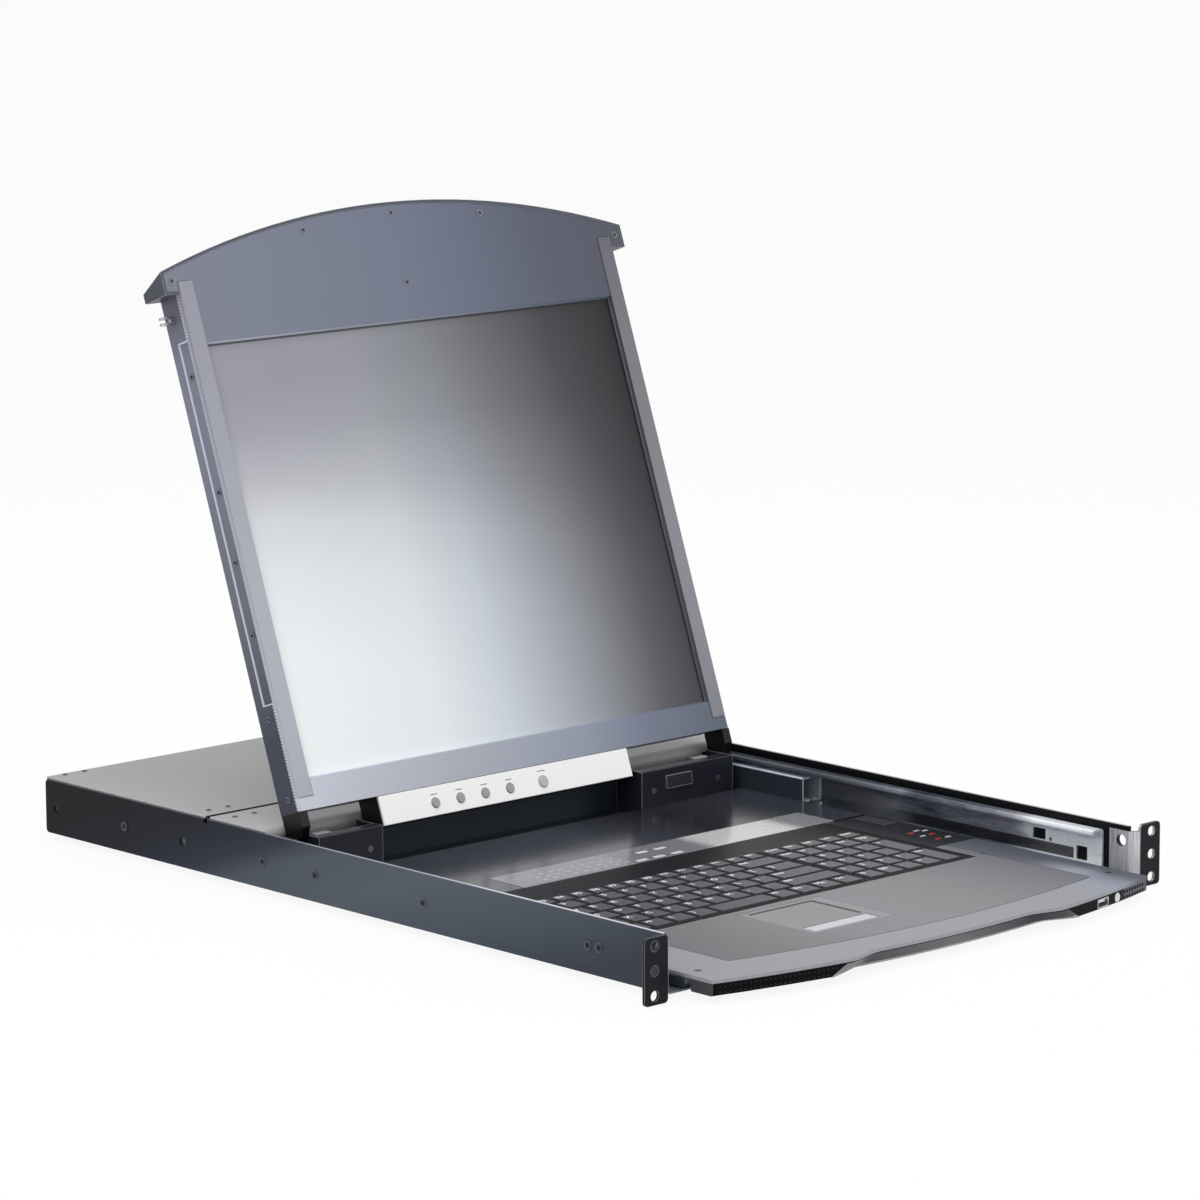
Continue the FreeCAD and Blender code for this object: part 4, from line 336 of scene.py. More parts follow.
def bright_metal(name, colour, rough=0.3, along=(1.0, 0.03, 1.0)):
    """Plated steel with faint drawn lines along its length and cloudy patches."""
    paint = Paint(name)
    lines = paint.noise(paint.place(scale=along), 900.0, 2.0)
    cloud = paint.noise(paint.place(), 26.0, 5.0, 0.6)
    paint.base = paint.ramp(cloud * 0.7 + lines * 0.3, [
        (0.28, shade(colour, 0.72)), (0.5, colour), (0.72, shade(colour, 1.22))])
    paint.set(Base_Color=paint.base, Metallic=0.85,
              Roughness=rough + (cloud - 0.5) * 0.22 + (lines - 0.5) * 0.12)
    paint.bump(lines, 0.00003, 0.5)
    return paint


# ------------------------------------------------------------------ pieces
def new_piece(name, mesh, paint, body):
    """Links a finished bmesh as a piece that moves with a body."""
    bmesh.ops.recalc_face_normals(mesh, faces=mesh.faces)
    data = bpy.data.meshes.new(name)
    mesh.to_mesh(data)
    mesh.free()
    settle(bpy.data.objects.new(name, data), paint, body)


def settle(piece, paint, body):
    """Links an object, gives it its finish and lets it ride on its body."""
    bpy.context.scene.collection.objects.link(piece)
    piece.data.materials.clear()
    piece.data.materials.append(paint.material)
    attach(piece, body)


def add_block(mesh, low, high, bevel=0.0, frame_matrix=None):
    """A block between two corners, in millimetres, with bevelled edges if it has a bevel."""
    low = Vector(low) * MM
    high = Vector(high) * MM
    matrix = Matrix.Translation((low + high) / 2) @ Matrix.Diagonal((*(high - low), 1.0))
    if frame_matrix is not None:
        matrix = frame_matrix @ matrix
    made = bmesh.ops.create_cube(mesh, size=1.0, matrix=matrix)
    if bevel:
        edges = {edge for vert in made["verts"] for edge in vert.link_edges}
        bmesh.ops.bevel(mesh, geom=list(edges), offset=bevel * MM, segments=2, profile=0.5,
                        affect="EDGES", material=-1)


def add_pin(mesh, start, radius, length):
    """A short rod that starts at a point and runs to the rear, in millimetres."""
    to_rear = Vector((0, 1, 0))
    middle = (Vector(start) + to_rear * length / 2) * MM
    turn = to_rear.to_track_quat("Z", "Y").to_matrix().to_4x4()
    bmesh.ops.create_cone(mesh, cap_ends=True, segments=8, radius1=radius * MM,
                          radius2=radius * MM, depth=length * MM,
                          matrix=Matrix.Translation(middle) @ turn)


def dress(paint, *nodes):
    """Gives CAD nodes their finish."""
    for node in nodes:
        data = frame["nodes"][node].data
        if not data.materials:
            data.materials.append(None)
        for index in range(len(data.materials)):
            data.materials[index] = paint.material


def solid_boxes(node):
    """The lowest and highest corners of each separate solid of a node."""
    mesh = bmesh.new()
    mesh.from_mesh(frame["nodes"][node].data)
    bmesh.ops.remove_doubles(mesh, verts=mesh.verts, dist=1e-6)
    seen = set()
    boxes = []
    for start in mesh.verts:
        if start in seen:
            continue
        group = []
        todo = [start]
        seen.add(start)
        while todo:
            vert = todo.pop()
            group.append(vert.co.copy())
            for edge in vert.link_edges:
                other = edge.other_vert(vert)
                if other not in seen:
                    seen.add(other)
                    todo.append(other)
        boxes.append((Vector(min(co[i] for co in group) for i in range(3)),
                      Vector(max(co[i] for co in group) for i in range(3))))
    mesh.free()
    return boxes


# ------------------------------------------------------------------ values that a user may change
def colour_value(name, description, *colour):
    """A colour, given as red, green and blue from 0 to 255."""
    return bpy.props.FloatVectorProperty(name=name, description=description, subtype="COLOR",
                                         size=3, min=0.0, max=1.0, default=tone(*colour))


def length_value(name, description, default):
    """A length in metres, given in millimetres."""
    return bpy.props.FloatProperty(name=name, description=description, unit="LENGTH",
                                   default=default * MM, min=0.0)


class DrawerMetalValues(bpy.types.PropertyGroup):
    """Colours of the chassis and its metal parts."""

    wall: colour_value("Wall", "Slate coat of the side walls", 66, 75, 86)
    wall_inside: colour_value("Wall inside", "Shadowed inner side of the walls", 20, 20, 23)
    ear: colour_value("Ear", "Black coat of the rack ears", 20, 20, 25)
    cover: colour_value("Covers", "Grey of the top covers", 172, 172, 172)
    middle: colour_value("Middle cover", "Grey of the cover behind the hinges", 174, 174, 176)
    zinc: colour_value("Zinc", "Plated steel of the slides", 150, 156, 166)
    zinc_dark: colour_value("Zinc in shade", "The slides where the drawer covers them",
                            62, 68, 82)
    box: colour_value("Hinge box", "Dark coat of the hinge boxes", 38, 39, 49)
    steel: colour_value("Steel", "Bright pivots and latches", 176, 178, 184)


class DrawerMouldingValues(bpy.types.PropertyGroup):
    """Colours of the moulded parts of the tray."""

    palm: colour_value("Palm rest", "Grey of the palm rest", 118, 117, 120)
    bezel: colour_value("Bezel", "Black of the tray's front", 7, 7, 9)
    lip: colour_value("Handle", "Grey of the bar along the grip", 72, 72, 77)
    key: colour_value("Keys", "Grey of the keys", 88, 86, 92)
    well: colour_value("Key well", "Black under and around the keys", 14, 14, 17)
    deck: colour_value("Deck", "Gloss black behind the keys", 30, 31, 38)
    touch: colour_value("Touchpad", "Matt grey of the touchpad", 146, 146, 146)
    silver: colour_value("Silver", "Silver of the touchpad's buttons", 200, 200, 205)
    legend: colour_value("Legends", "White of the printed legends", 226, 226, 230)


class DrawerDisplayValues(bpy.types.PropertyGroup):
    """Colours of the display."""

    shell: colour_value("Shell", "Slate coat of the display's plates", 92, 99, 114)
    cap: colour_value("Cap", "Dark grey moulding of the cap", 74, 76, 86)
    # The palest and darkest ends of the screen's painted reflection.
    screen_light: colour_value("Screen, light", "Where the matt screen is palest",
                               250, 254, 255)
    screen_dark: colour_value("Screen, dark", "Where the matt screen is darkest", 34, 33, 37)
    bar: colour_value("Control bar", "Gloss white of the control bar", 255, 255, 254)
    button: colour_value("Buttons", "Grey of the buttons", 168, 169, 175)


class DrawerDetailValues(bpy.types.PropertyGroup):
    """Sizes of the small added parts."""

    legend_size: length_value("Legend height", "Height of the letters on the keys", 5.2)
    legend_lift: length_value("Legend lift", "How far the legends stand above the keys", 0.06)
    vent_pitch: length_value("Vent pitch", "Distance between the dots on the tray's front", 3.6)
    vent_radius: length_value("Vent radius", "Radius of the dots on the tray's front", 0.95)
    groove: length_value("Groove", "Half the width of the line round the palm rest", 0.45)
    cross_size: length_value("Screw cross", "Length of the cross on the screw heads", 2.6)


def values():
    """The drawer's values in this scene."""
    return bpy.context.scene.drawer_values


class DrawerValues(bpy.types.PropertyGroup):
    """All the values of the drawer."""

    metal: bpy.props.PointerProperty(type=DrawerMetalValues, name="Metal",
                                     description="Colours of the metal parts")
    moulding: bpy.props.PointerProperty(type=DrawerMouldingValues, name="Mouldings",
                                        description="Colours of the moulded parts")
    display: bpy.props.PointerProperty(type=DrawerDisplayValues, name="Display",
                                       description="Colours of the display")
    detail: bpy.props.PointerProperty(type=DrawerDetailValues, name="Details",
                                      description="Sizes of the added parts")


# ------------------------------------------------------------------ stage
class DRAWER_OT_stage(bpy.types.Operator):
    """Sets the floor, the soft lights and the camera"""

    bl_idname = "drawer.stage"
    bl_label = "Set the stage"

    def execute(self, context):
        low = CAD_BOX[0][2]
        mesh = bmesh.new()
        bmesh.ops.create_grid(mesh, x_segments=1, y_segments=1, size=FLOOR_SIZE,
                              matrix=Matrix.Translation((0, 0, low - FLOOR_DROP)))
        data = bpy.data.meshes.new("floor")
        mesh.to_mesh(data)
        mesh.free()
        floor = bpy.data.objects.new("floor", data)
        context.scene.collection.objects.link(floor)
        paint = Paint("floor_paper")
        paint.set(Base_Color=(0.93, 0.93, 0.93), Roughness=0.9)
        glow = paint.node("ShaderNodeEmission", {}, {"Color": (1, 1, 1, 1), "Strength": 1.0})
        rays = paint.node("ShaderNodeLightPath", {}, {})
        seen = [Sock(paint, rays.outputs[name]) for name in (
            "Is Camera Ray", "Is Glossy Ray", "Is Transmission Ray")]
        mixed = paint.node("ShaderNodeMixShader", {}, {
            0: seen[0] * 0.9 + (seen[1] + seen[2]) * 0.5})
        paint.tree.links.new(paint.shader.outputs[0], mixed.inputs[1])
        paint.tree.links.new(glow.outputs[0], mixed.inputs[2])
        out = next(node for node in paint.tree.nodes if node.type == "OUTPUT_MATERIAL")
        paint.tree.links.new(mixed.outputs[0], out.inputs["Surface"])
        data.materials.append(paint.material)
        self.light_world(context)
        for name, place, aim, size, power in LIGHTS:
            lamp = bpy.data.lights.new(name, "AREA")
            lamp.shape = "SQUARE"
            lamp.size = size
            lamp.energy = power
            holder = bpy.data.objects.new(name, lamp)
            holder.location = place
            holder.rotation_euler = (Vector(aim) - Vector(place)).to_track_quat(
                "-Z", "Y").to_euler()
            context.scene.collection.objects.link(holder)
        context.scene.view_settings.view_transform = "Standard"
        self.place_camera(context)
        return {"FINISHED"}

    def light_world(self, context):
        """An even grey-white room that shows pure white behind the object."""
        world = bpy.data.worlds.new("studio")
        context.scene.world = world
        world.use_nodes = True
        tree = world.node_tree
        back = tree.nodes["Background"]
        back.inputs["Color"].default_value = (1.0, 1.0, 1.0, 1.0)
        back.inputs["Strength"].default_value = ROOM_LIGHT
        white, rays, both, seen, mixed = (tree.nodes.new("ShaderNode" + kind) for kind in (
            "Background", "LightPath", "Math", "Math", "MixShader"))
        white.inputs["Strength"].default_value = 1.0
        both.operation = seen.operation = "MAXIMUM"
        for source, target in (
                (rays.outputs["Is Camera Ray"], both.inputs[0]),
                (rays.outputs["Is Glossy Ray"], both.inputs[1]),
                (both.outputs[0], seen.inputs[0]),
                (rays.outputs["Is Transmission Ray"], seen.inputs[1]),
                (seen.outputs[0], mixed.inputs[0]),
                (back.outputs[0], mixed.inputs[1]),
                (white.outputs[0], mixed.inputs[2]),
                (mixed.outputs[0], tree.nodes["World Output"].inputs["Surface"])):
            tree.links.new(source, target)

    def place_camera(self, context):
        """A long lens from the front left, a little above the drawer."""
        yaw, pitch, roll = (math.radians(part) for part in CAMERA_TURN)
        ahead = Vector((math.sin(yaw) * math.cos(pitch), math.cos(yaw) * math.cos(pitch),
                        -math.sin(pitch)))
        level = Vector((math.cos(yaw), -math.sin(yaw), 0.0))
        over = level.cross(ahead)
        right = level * math.cos(roll) + over * math.sin(roll)
        up = over * math.cos(roll) - level * math.sin(roll)
        lens = bpy.data.cameras.new("camera")
        lens.sensor_width = 36.0
        lens.lens = LENS
        lens.clip_end = 50.0
        camera = bpy.data.objects.new("camera", lens)
        camera.matrix_world = Matrix.Translation(CAMERA_PLACE) @ Matrix(
            (right, up, -ahead)).transposed().to_4x4()
        context.scene.collection.objects.link(camera)
        context.scene.camera = camera


# ------------------------------------------------------------------ chassis
class DRAWER_OT_chassis(bpy.types.Operator):
    """Finishes the walls, ears, covers and pans of the chassis"""

    bl_idname = "drawer.chassis"
    bl_label = "Finish the chassis"

    hem_foot = (0.0202, 0.0206)  # how high a wall turns into its hem
    wall_skin = (0.2178, 0.2184)  # between a wall's inner and outer faces
    rear_gap = (0.4604, 0.4612)  # the rear cover's shadowed front edge
    middle_gap = (0.4556, 0.4562)  # the middle cover's shadowed rear edge
    nose = (0.010, 0.0205)  # the height of the middle cover's bent front

    def execute(self, context):
        colours = values().metal
        self.walls(colours)
        self.ears(colours)
        self.covers(colours)
        dress(bright_metal("pan_zinc", shade(colours.zinc, 0.62), 0.42, (1.0, 0.04, 1.0)),
              "bottom_pan")
        dress(powder_coat("bay_coat", shade(colours.wall, 0.55), 0.45, edges=0.4),
              "electronics_bay", "rear_panel", "tray_box")
        # The pale tone along the hinge boxes' edges is a painted highlight.
        dress(powder_coat("hinge_box_coat", colours.box, 0.32, edges=1.0, shine=0.16,
                          edge_highlight_tone=tone(170, 172, 180)), "hinge_boxes")
        return {"FINISHED"}

    def walls(self, colours):
        """A slate coat with painted reflection and shade that darken it towards the rear, painted
        highlights on the hems and painted shade on the inside.
        """
        wall = powder_coat("slate_coat", colours.wall, 0.40, edges=0.4, shine=0.13)
        x, y, z = wall.where()
        # Painted reflection and shade: a ramp along y + 3z, palest part way back and darkening to
        # near black at the rear.
        wall.lay(0.95, wall.tones(
            (y + z * 3.0) / 0.64,
            (0.06, 57, 61, 74), (0.16, 64, 73, 84), (0.25, 73, 81, 92), (0.44, 83, 91, 102),
            (0.60, 77, 84, 94), (0.67, 44, 49, 62), (0.73, 33, 37, 49), (0.81, 22, 22, 34),
            (0.95, 6, 6, 9)))
        # Painted highlight on the hems: palest at the front, greyer towards the rear, an even
        # pale grey on the right wall.
        hem = wall.mix(y.step(0.30, 0.42), tone(150, 152, 162), tone(108, 110, 120))
        hem = wall.mix(1.0 - y.step(0.14, 0.26), hem, tone(212, 213, 220))
        hem = wall.mix(x.step(-0.01, 0.01), hem, tone(188, 188, 190))
        top = z.step(*self.hem_foot)
        # Painted shade on the walls' inner faces below the hems.
        inside = 1.0 - abs(x).step(*self.wall_skin)
        wall.lay(top, hem)
        wall.lay(inside * (1.0 - top), colours.wall_inside)
        dress(wall, "side_walls")

    def ears(self, colours):
        """Black ears with bare, brushed side flanges."""
        # The pale tone along the ears' edges is a painted highlight.
        ear = powder_coat("ear_coat", colours.ear, 0.36, edges=0.8, shine=0.13,
                          edge_highlight_tone=tone(150, 152, 160))
        x, y = ear.where()[:2]
        flange = 1.0 - (ear.facing()[0] * x).step(-0.12, -0.08)
        brushed = ear.noise(ear.place(scale=(1, 1, 0.04)), 900.0, 3.0)
        ear.lay(flange, ear.tones(brushed * 0.7 + 0.2 - y * 8.0, (0.30, 160, 161, 168),
                                  (0.50, 200, 201, 206), (0.66, 226, 226, 230)))
        ear.set(Metallic=flange * 0.3)
        dress(ear, "rack_ears")

    def covers(self, colours):
        """Grey covers, with painted shadow in the gap between them and painted shade on the
        middle one's bent nose.
        """
        rear = powder_coat("cover_grey", colours.cover, 0.5, edges=0.2, shine=0.3)
        y = rear.where()[1]
        # Painted shadow on the rear cover's front edge.
        rear.lay(1.0 - y.step(*self.rear_gap), tone(*GAP_SHADOW))
        dress(rear, "rear_cover")
        middle = powder_coat("middle_grey", colours.middle, 0.45, edges=0.2, shine=0.3)
        y, z = middle.where()[1:]
        # Painted shade on the middle cover's bent nose.
        middle.lay((1.0 - z.step(*self.nose)) * 0.75, shade(colours.middle, 0.25))
        # Painted shadow on the middle cover's rear edge.
        middle.lay(y.step(*self.middle_gap), tone(*GAP_SHADOW))
        dress(middle, "middle_cover")


class DRAWER_OT_slides(bpy.types.Operator):
    """Finishes the slides, the tray pan and the turned steel parts"""

    bl_idname = "drawer.slides"
    bl_label = "Finish the slides"

    rail = (-0.0097, -0.0020)  # the height of the dark rail along the outer members
    rail_start = (0.0550, 0.0560)
    rail_fade = (0.20, 0.24)
    slot_pitch = 0.003  # half the distance between the power supply's slots
    slot_run = (0.50, 0.54)

    def execute(self, context):
        colours = values().metal
        self.outer_members(colours)
        # A paler zinc than the outer members' stands in for the light on the inner members;
        # painted shade towards the rear.
        inner = bright_metal("inner_zinc", tone(214, 226, 242), 0.3)
        y = inner.where()[1]
        inner.lay(y.step(0.38, 0.46) * 0.6, colours.zinc_dark)
        inner.set(Metallic=0.1)
        dress(inner, "slide_inner_members")
        dress(bright_metal("ball_steel", tone(205, 205, 208), 0.15, EVEN), "ball_cages")
        dress(powder_coat("tray_coat", shade(colours.wall, 0.5), 0.4, edges=0.4), "tray_pan")
        dress(bright_metal("turned_steel", colours.steel, 0.25, EVEN),
              "hinge_pivots", "latch_right", "latch_left")
        for node, name, head in (
                ("chassis_screws", "screw_dark", tone(44, 46, 53)),
                ("tray_screws", "screw_dull", tone(84, 85, 90)),
                ("lid_screws", "screw_steel", tone(96, 98, 104))):
            screw = bright_metal(name, head, 0.3, EVEN)
            # Painted glints on the heads' rims.
            screw.tint_edges(0.0007, 0.8, 176, 179, 188)
            screw.set(Metallic=0.5)
            dress(screw, node)
        supply = bright_metal("supply_case", tone(150, 152, 156), 0.4)
        x, y = supply.where()[:2]
        slots = supply.band(x.mod(self.slot_pitch), 0.0011, self.slot_pitch, 0.0003)
        supply.lay(slots * supply.band(y, *self.slot_run, 0.001) * 0.85, tone(20, 20, 22))
        dress(supply, "power_supply")
        return {"FINISHED"}

    def outer_members(self, colours):
        """Zinc with a painted reflection, bright in front and mottled further in, painted shade
        behind, and a dark rail.
        """
        zinc = bright_metal("slide_zinc", colours.zinc, 0.28)
        x, y, z = zinc.where()
        mottle = zinc.noise(zinc.place(scale=(1.0, 0.35, 2.0)), 38.0, 5.0, 0.65)
        shaded = (y + (mottle - 0.5) * 0.09).step(0.085, 0.130)
        far = (y + (mottle - 0.5) * 0.06).step(0.20, 0.27)
        # Painted reflection, near white, in front of the shaded part.
        zinc.lay(1.0 - shaded, zinc.tones(
            mottle, (0.30, 180, 187, 198), (0.45, 240, 245, 252), (0.7, 252, 254, 255)))
        # Painted reflection, mottled and dimmer, where the drawer shades the slide.
        zinc.lay(shaded * 0.95, zinc.ramp(mottle, [
            (0.36, shade(colours.zinc_dark, 0.6)), (0.5, tone(112, 121, 134)),
            (0.66, tone(170, 162, 174))]))
        # Painted shade further back.
        zinc.lay(far * 0.8, tone(50, 55, 64))
        rail = zinc.band(z, *self.rail, SOFT) * y.step(*self.rail_start) * (
            1.0 - y.step(*self.rail_fade))
        zinc.lay(rail * 0.9, tone(16, 16, 20))
        zinc.set(Metallic=0.12 + (shaded * 0.2 - far * 0.2) * (1.0 - rail))
        dress(zinc, "slide_outer_members")


class DRAWER_OT_rear_fittings(bpy.types.Operator):
    """Finishes the sockets, the inlet, the switch and the boards"""

    bl_idname = "drawer.rear_fittings"
    bl_label = "Finish the rear fittings"

    insert_width = (0.0058, 0.0064)
    insert_height = (0.0026, 0.0030)
    port_mouth = (0.636, 0.6366)
    hole_grid = 0.00254

    def execute(self, context):
        nickel = bright_metal("nickel_shell", tone(178, 178, 176), 0.3, EVEN)
        x, y, z = nickel.where()
        beside = abs((x - FIRST_PORT * MM).mod(PORT_PITCH * MM / 2))
        above = abs(z - PORT_HEIGHT * MM)
        insert = (1.0 - beside.step(*self.insert_width)) * (
            1.0 - above.step(*self.insert_height))
        nickel.lay(insert * y.step(*self.port_mouth) * 0.9, tone(22, 22, 26))
        dress(nickel, "console_ports")
        dress(plastic("inlet_plastic", tone(24, 24, 26), 0.4, 700.0),
              "power_inlet", "switch_housing")
        dress(plastic("rocker_plastic", tone(30, 30, 33), 0.3, 500.0), "switch_rocker")
        board = Paint("board_green")
        x, y = board.where()[:2]
        tracks = board.noise(board.place(scale=(1.0, 0.25, 1.0)), 420.0, 1.0).step(0.52, 0.55)
        lands = 1.0 - (x.mod(self.hole_grid) + y.mod(self.hole_grid)).step(0.0009, 0.0012)
        colour = board.mix(tracks * 0.6, tone(18, 62, 44), tone(40, 104, 72))
        colour = board.mix(lands * 0.8, colour, tone(176, 150, 84))
        board.set(Base_Color=colour, Roughness=0.35 + tracks * 0.1, Metallic=lands * 0.7)
        dress(board, "console_board", "lcd_boards")
        return {"FINISHED"}


# ------------------------------------------------------------------ tray
class DRAWER_OT_tray(bpy.types.Operator):
    """Finishes the palm rest, its front, the touchpad and the deck behind the keys"""

    bl_idname = "drawer.tray"
    bl_label = "Finish the tray"

    field_reach = (0.1620, 0.1740)  # how far the palm rest's field goes left and right
    palm_top = (-0.0072, -0.0070)
    pad_hollow = ((-0.0735, 0.0030), (0.0185, 0.0905))  # across, and from the front
    hollow_line = 0.0008
    pad_plate = ((-0.0660, -0.0094), (0.0410, 0.0848))
    dot_height = 0.0137  # how far the two rows of dots are below the middle
    dot_rise = 0.0019
    dot_ends = (0.2000, 0.2010)
    dotless = (0.1330, 0.1700)  # the part of the front with the socket and the button
    front_corner = (0.2030, 0.2034)
    foot = (-0.0160, -0.0154)  # the height of the grip's pale foot, a painted reflection of the floor

    def execute(self, context):
        colours = values().moulding
        detail = values().detail
        self.palm_rest(colours, detail.groove)
        self.touchpad(colours)
        self.front(colours, detail)
        self.grip(colours)
        self.behind_keys(colours)
        return {"FINISHED"}

    def palm_rest(self, colours, half):
        """Grey with a painted sheen that is palest in the middle, painted reflections on its
        margin, and a fine line round its field.
        """
        palm = plastic("palm_plastic", colours.palm, 0.5, 1100.0, 0.00003, 0.05)
        x, y, z = palm.where()
        left, right = self.field_reach
        fine = (half * 0.5, half * 1.5)
        sharp = (-0.0002, 0.0002)
        ahead = y - (x * x * 0.60 - x * 0.020 - 0.0120)
        out = (x - right).high(x * -1.0 - left)
        line = (1.0 - abs(ahead).step(*fine)) * (1.0 - out.step(0.0, 0.0008))
        line = line.high((1.0 - abs(out).step(*fine)) * ahead.step(-0.001, 0.001))
        margin = (1.0 - ahead.step(*sharp)).high(out.step(*sharp))
        # Painted sheen across the palm rest.
        palm.lay(0.85, palm.fade(
            x, -0.17, 0.19, (112, 111, 116), (120, 119, 121), (136, 135, 139), (141, 140, 144),
            (137, 136, 139), (124, 123, 128), (104, 105, 114)))
        # Painted reflections on the margin: pale in front, darker and bluish towards the right.
        rim = palm.mix(x.step(0.10, 0.19) * y.step(0.0, 0.075), tone(156, 155, 161),
                       tone(84, 88, 101))
        rim = palm.mix(x.step(0.12, 0.19) * (1.0 - y.step(0.0, 0.06)), rim,
                       tone(158, 165, 181))
        rim = palm.mix(x.step(0.155, 0.200) * (1.0 - y.step(-0.004, 0.026)) * 0.75, rim,
                       tone(84, 86, 95))
        rim = palm.mix(x.step(0.180, 0.198), rim, tone(84, 87, 98))
        palm.lay(margin * 0.9, rim)
        across, along = self.pad_hollow
        hollow, core = (
            palm.band(x, across[0] + inset, across[1] - inset, SOFT)
            * palm.band(y, along[0] + inset, along[1] - inset, SOFT)
            for inset in (0.0, self.hollow_line))
        line = line.high((hollow - core) * (0.4 + y.step(0.0885, 0.0895) * 0.6))
        top = z.step(*self.palm_top)
        palm.lay(core * top * 0.35, tone(166, 166, 170))
        palm.lay(line * top * 0.9, tone(44, 44, 50))
        # Painted highlight along the palm rest's edges.
        palm.tint_edges(0.0010, 0.35, 186, 186, 190)
        dress(palm, "palm_rest")

    def touchpad(self, colours):
        """A matt pad in a black gap, and its two silver buttons."""
        pad = plastic("touch_surface", colours.touch, 0.55, 2600.0, 0.00002, 0.04)
        x, y = pad.where()[:2]
        across, along = self.pad_plate
        plate = pad.band(x, *across, SOFT) * pad.band(y, *along, SOFT)
        pad.lay((1.0 - plate) * 0.9, tone(22, 22, 24))
        dress(pad, "touchpad")
        button = plastic("touch_button_silver", colours.silver, 0.32, 600.0, 0.00001, 0.03)
        button.set(Coat_Weight=0.25, Coat_Roughness=0.2)
        dress(button, "touch_button_left", "touch_button_right")

    def front(self, colours, detail):
        """The black front, paler at its right end, with two rows of dots each side."""
        bezel = plastic("bezel_black", colours.bezel, 0.42, 900.0, shine=0.06)
        x, y, z = bezel.where()
        across = abs(x).mod(detail.vent_pitch / 2)
        row = abs(abs(z + self.dot_height) - self.dot_rise)
        pale = x.step(0.168, 0.176)
        dots = 1.0 - ((across * across + row * row).power(0.5) - pale * 0.0003).step(
            detail.vent_radius * 0.8, detail.vent_radius)
        wings = (abs(x) + z * 2.2).step(0.0820, 0.0830) * (1.0 - abs(x).step(*self.dot_ends))
        dots = dots * wings * (1.0 - bezel.band(x, *self.dotless, 0.001))
        bezel.lay(pale * 0.9, tone(98, 97, 103))
        bezel.lay(abs(x).step(*self.front_corner), tone(70, 69, 74))
        bezel.lay(dots, bezel.mix(pale, tone(36, 36, 40), tone(6, 6, 8)))
        # Painted highlight along the front's edges.
        bezel.tint_edges(0.0008, 0.3, 120, 120, 124)
        bezel.set(Roughness=0.4 + dots * 0.3)
        bezel.bump(dots * -1.0, 0.0006, 1.0)
        dress(bezel, "front_bezel")

    def grip(self, colours):
        """The grey bar along the grip with painted highlights and shade and a pale foot that is a
        painted reflection of the floor, and the steel socket and button.
        """
        lip = plastic("handle_grey", colours.lip, 0.36, 800.0)
        x, y, z = lip.where()
        # Painted highlights and shade along the bar.
        lip.lay(0.85, lip.fade(
            x, -0.117, 0.117, (156, 156, 160), (80, 80, 83), (98, 98, 101), (114, 114, 116),
            (88, 88, 92), (44, 42, 49), (84, 84, 88)))
        # Painted reflection of the floor on the bar's foot.
        lip.lay((1.0 - z.step(*self.foot)) * 0.8, tone(172, 172, 176))
        dress(lip, "handle_lip")
        dress(bright_metal("socket_steel", tone(206, 206, 210), 0.22, EVEN),
              "usb_socket", "reset_button")

    def behind_keys(self, colours):
        """The black frame and well, the gloss deck, the indicator strip and the lamp panel, with
        painted reflections on the deck and the strip.
        """
        black = plastic("frame_black", shade(colours.well, 0.4), 0.34, 700.0, shine=0.08)
        # Painted highlight along the frame's edges.
        black.tint_edges(0.0007, 0.6, 120, 122, 130)
        dress(black, "keyboard_frame")
        dress(plastic("well_black", shade(colours.well, 0.3), 0.6, 500.0, shine=0.06),
              "keyboard_base")
        deck = plastic("deck_gloss", colours.deck, 0.2, 300.0, 0.00001, 0.06, 0.3)
        x = deck.where()[0]
        # Painted reflection across the gloss deck.
        deck.lay(0.8, deck.fade(
            x, -0.20, 0.20, (64, 66, 74), (76, 78, 88), (80, 82, 92), (28, 29, 36),
            (66, 68, 78)))
        deck.set(Coat_Weight=0.35, Coat_Roughness=0.12)
        dress(deck, "rear_deck")
        strip = plastic("strip_gloss", tone(123, 122, 127), 0.26, 400.0, 0.00001, 0.06)
        x = strip.where()[0]
        patch_noise = strip.noise(strip.place(), 14.0, 3.0)
        reflection_patch = strip.band(x, 0.055, 0.140, 0.008)
        # Painted reflections on the strip: paler at the left, a bright patch and paler again at
        # the right.
        strip.lay((1.0 - x.step(-0.030, -0.012)) * 0.8, tone(145, 145, 148))
        strip.lay(reflection_patch * (0.75 + patch_noise * 0.3), tone(212, 211, 208))
        strip.lay(x.step(0.135, 0.160) * 0.7, tone(136, 136, 142))
        strip.set(Coat_Weight=0.4, Coat_Roughness=0.1)
        dress(strip, "port_strip")
        dress(plastic("lock_black", tone(38, 38, 43), 0.3, 600.0), "lock_panel")


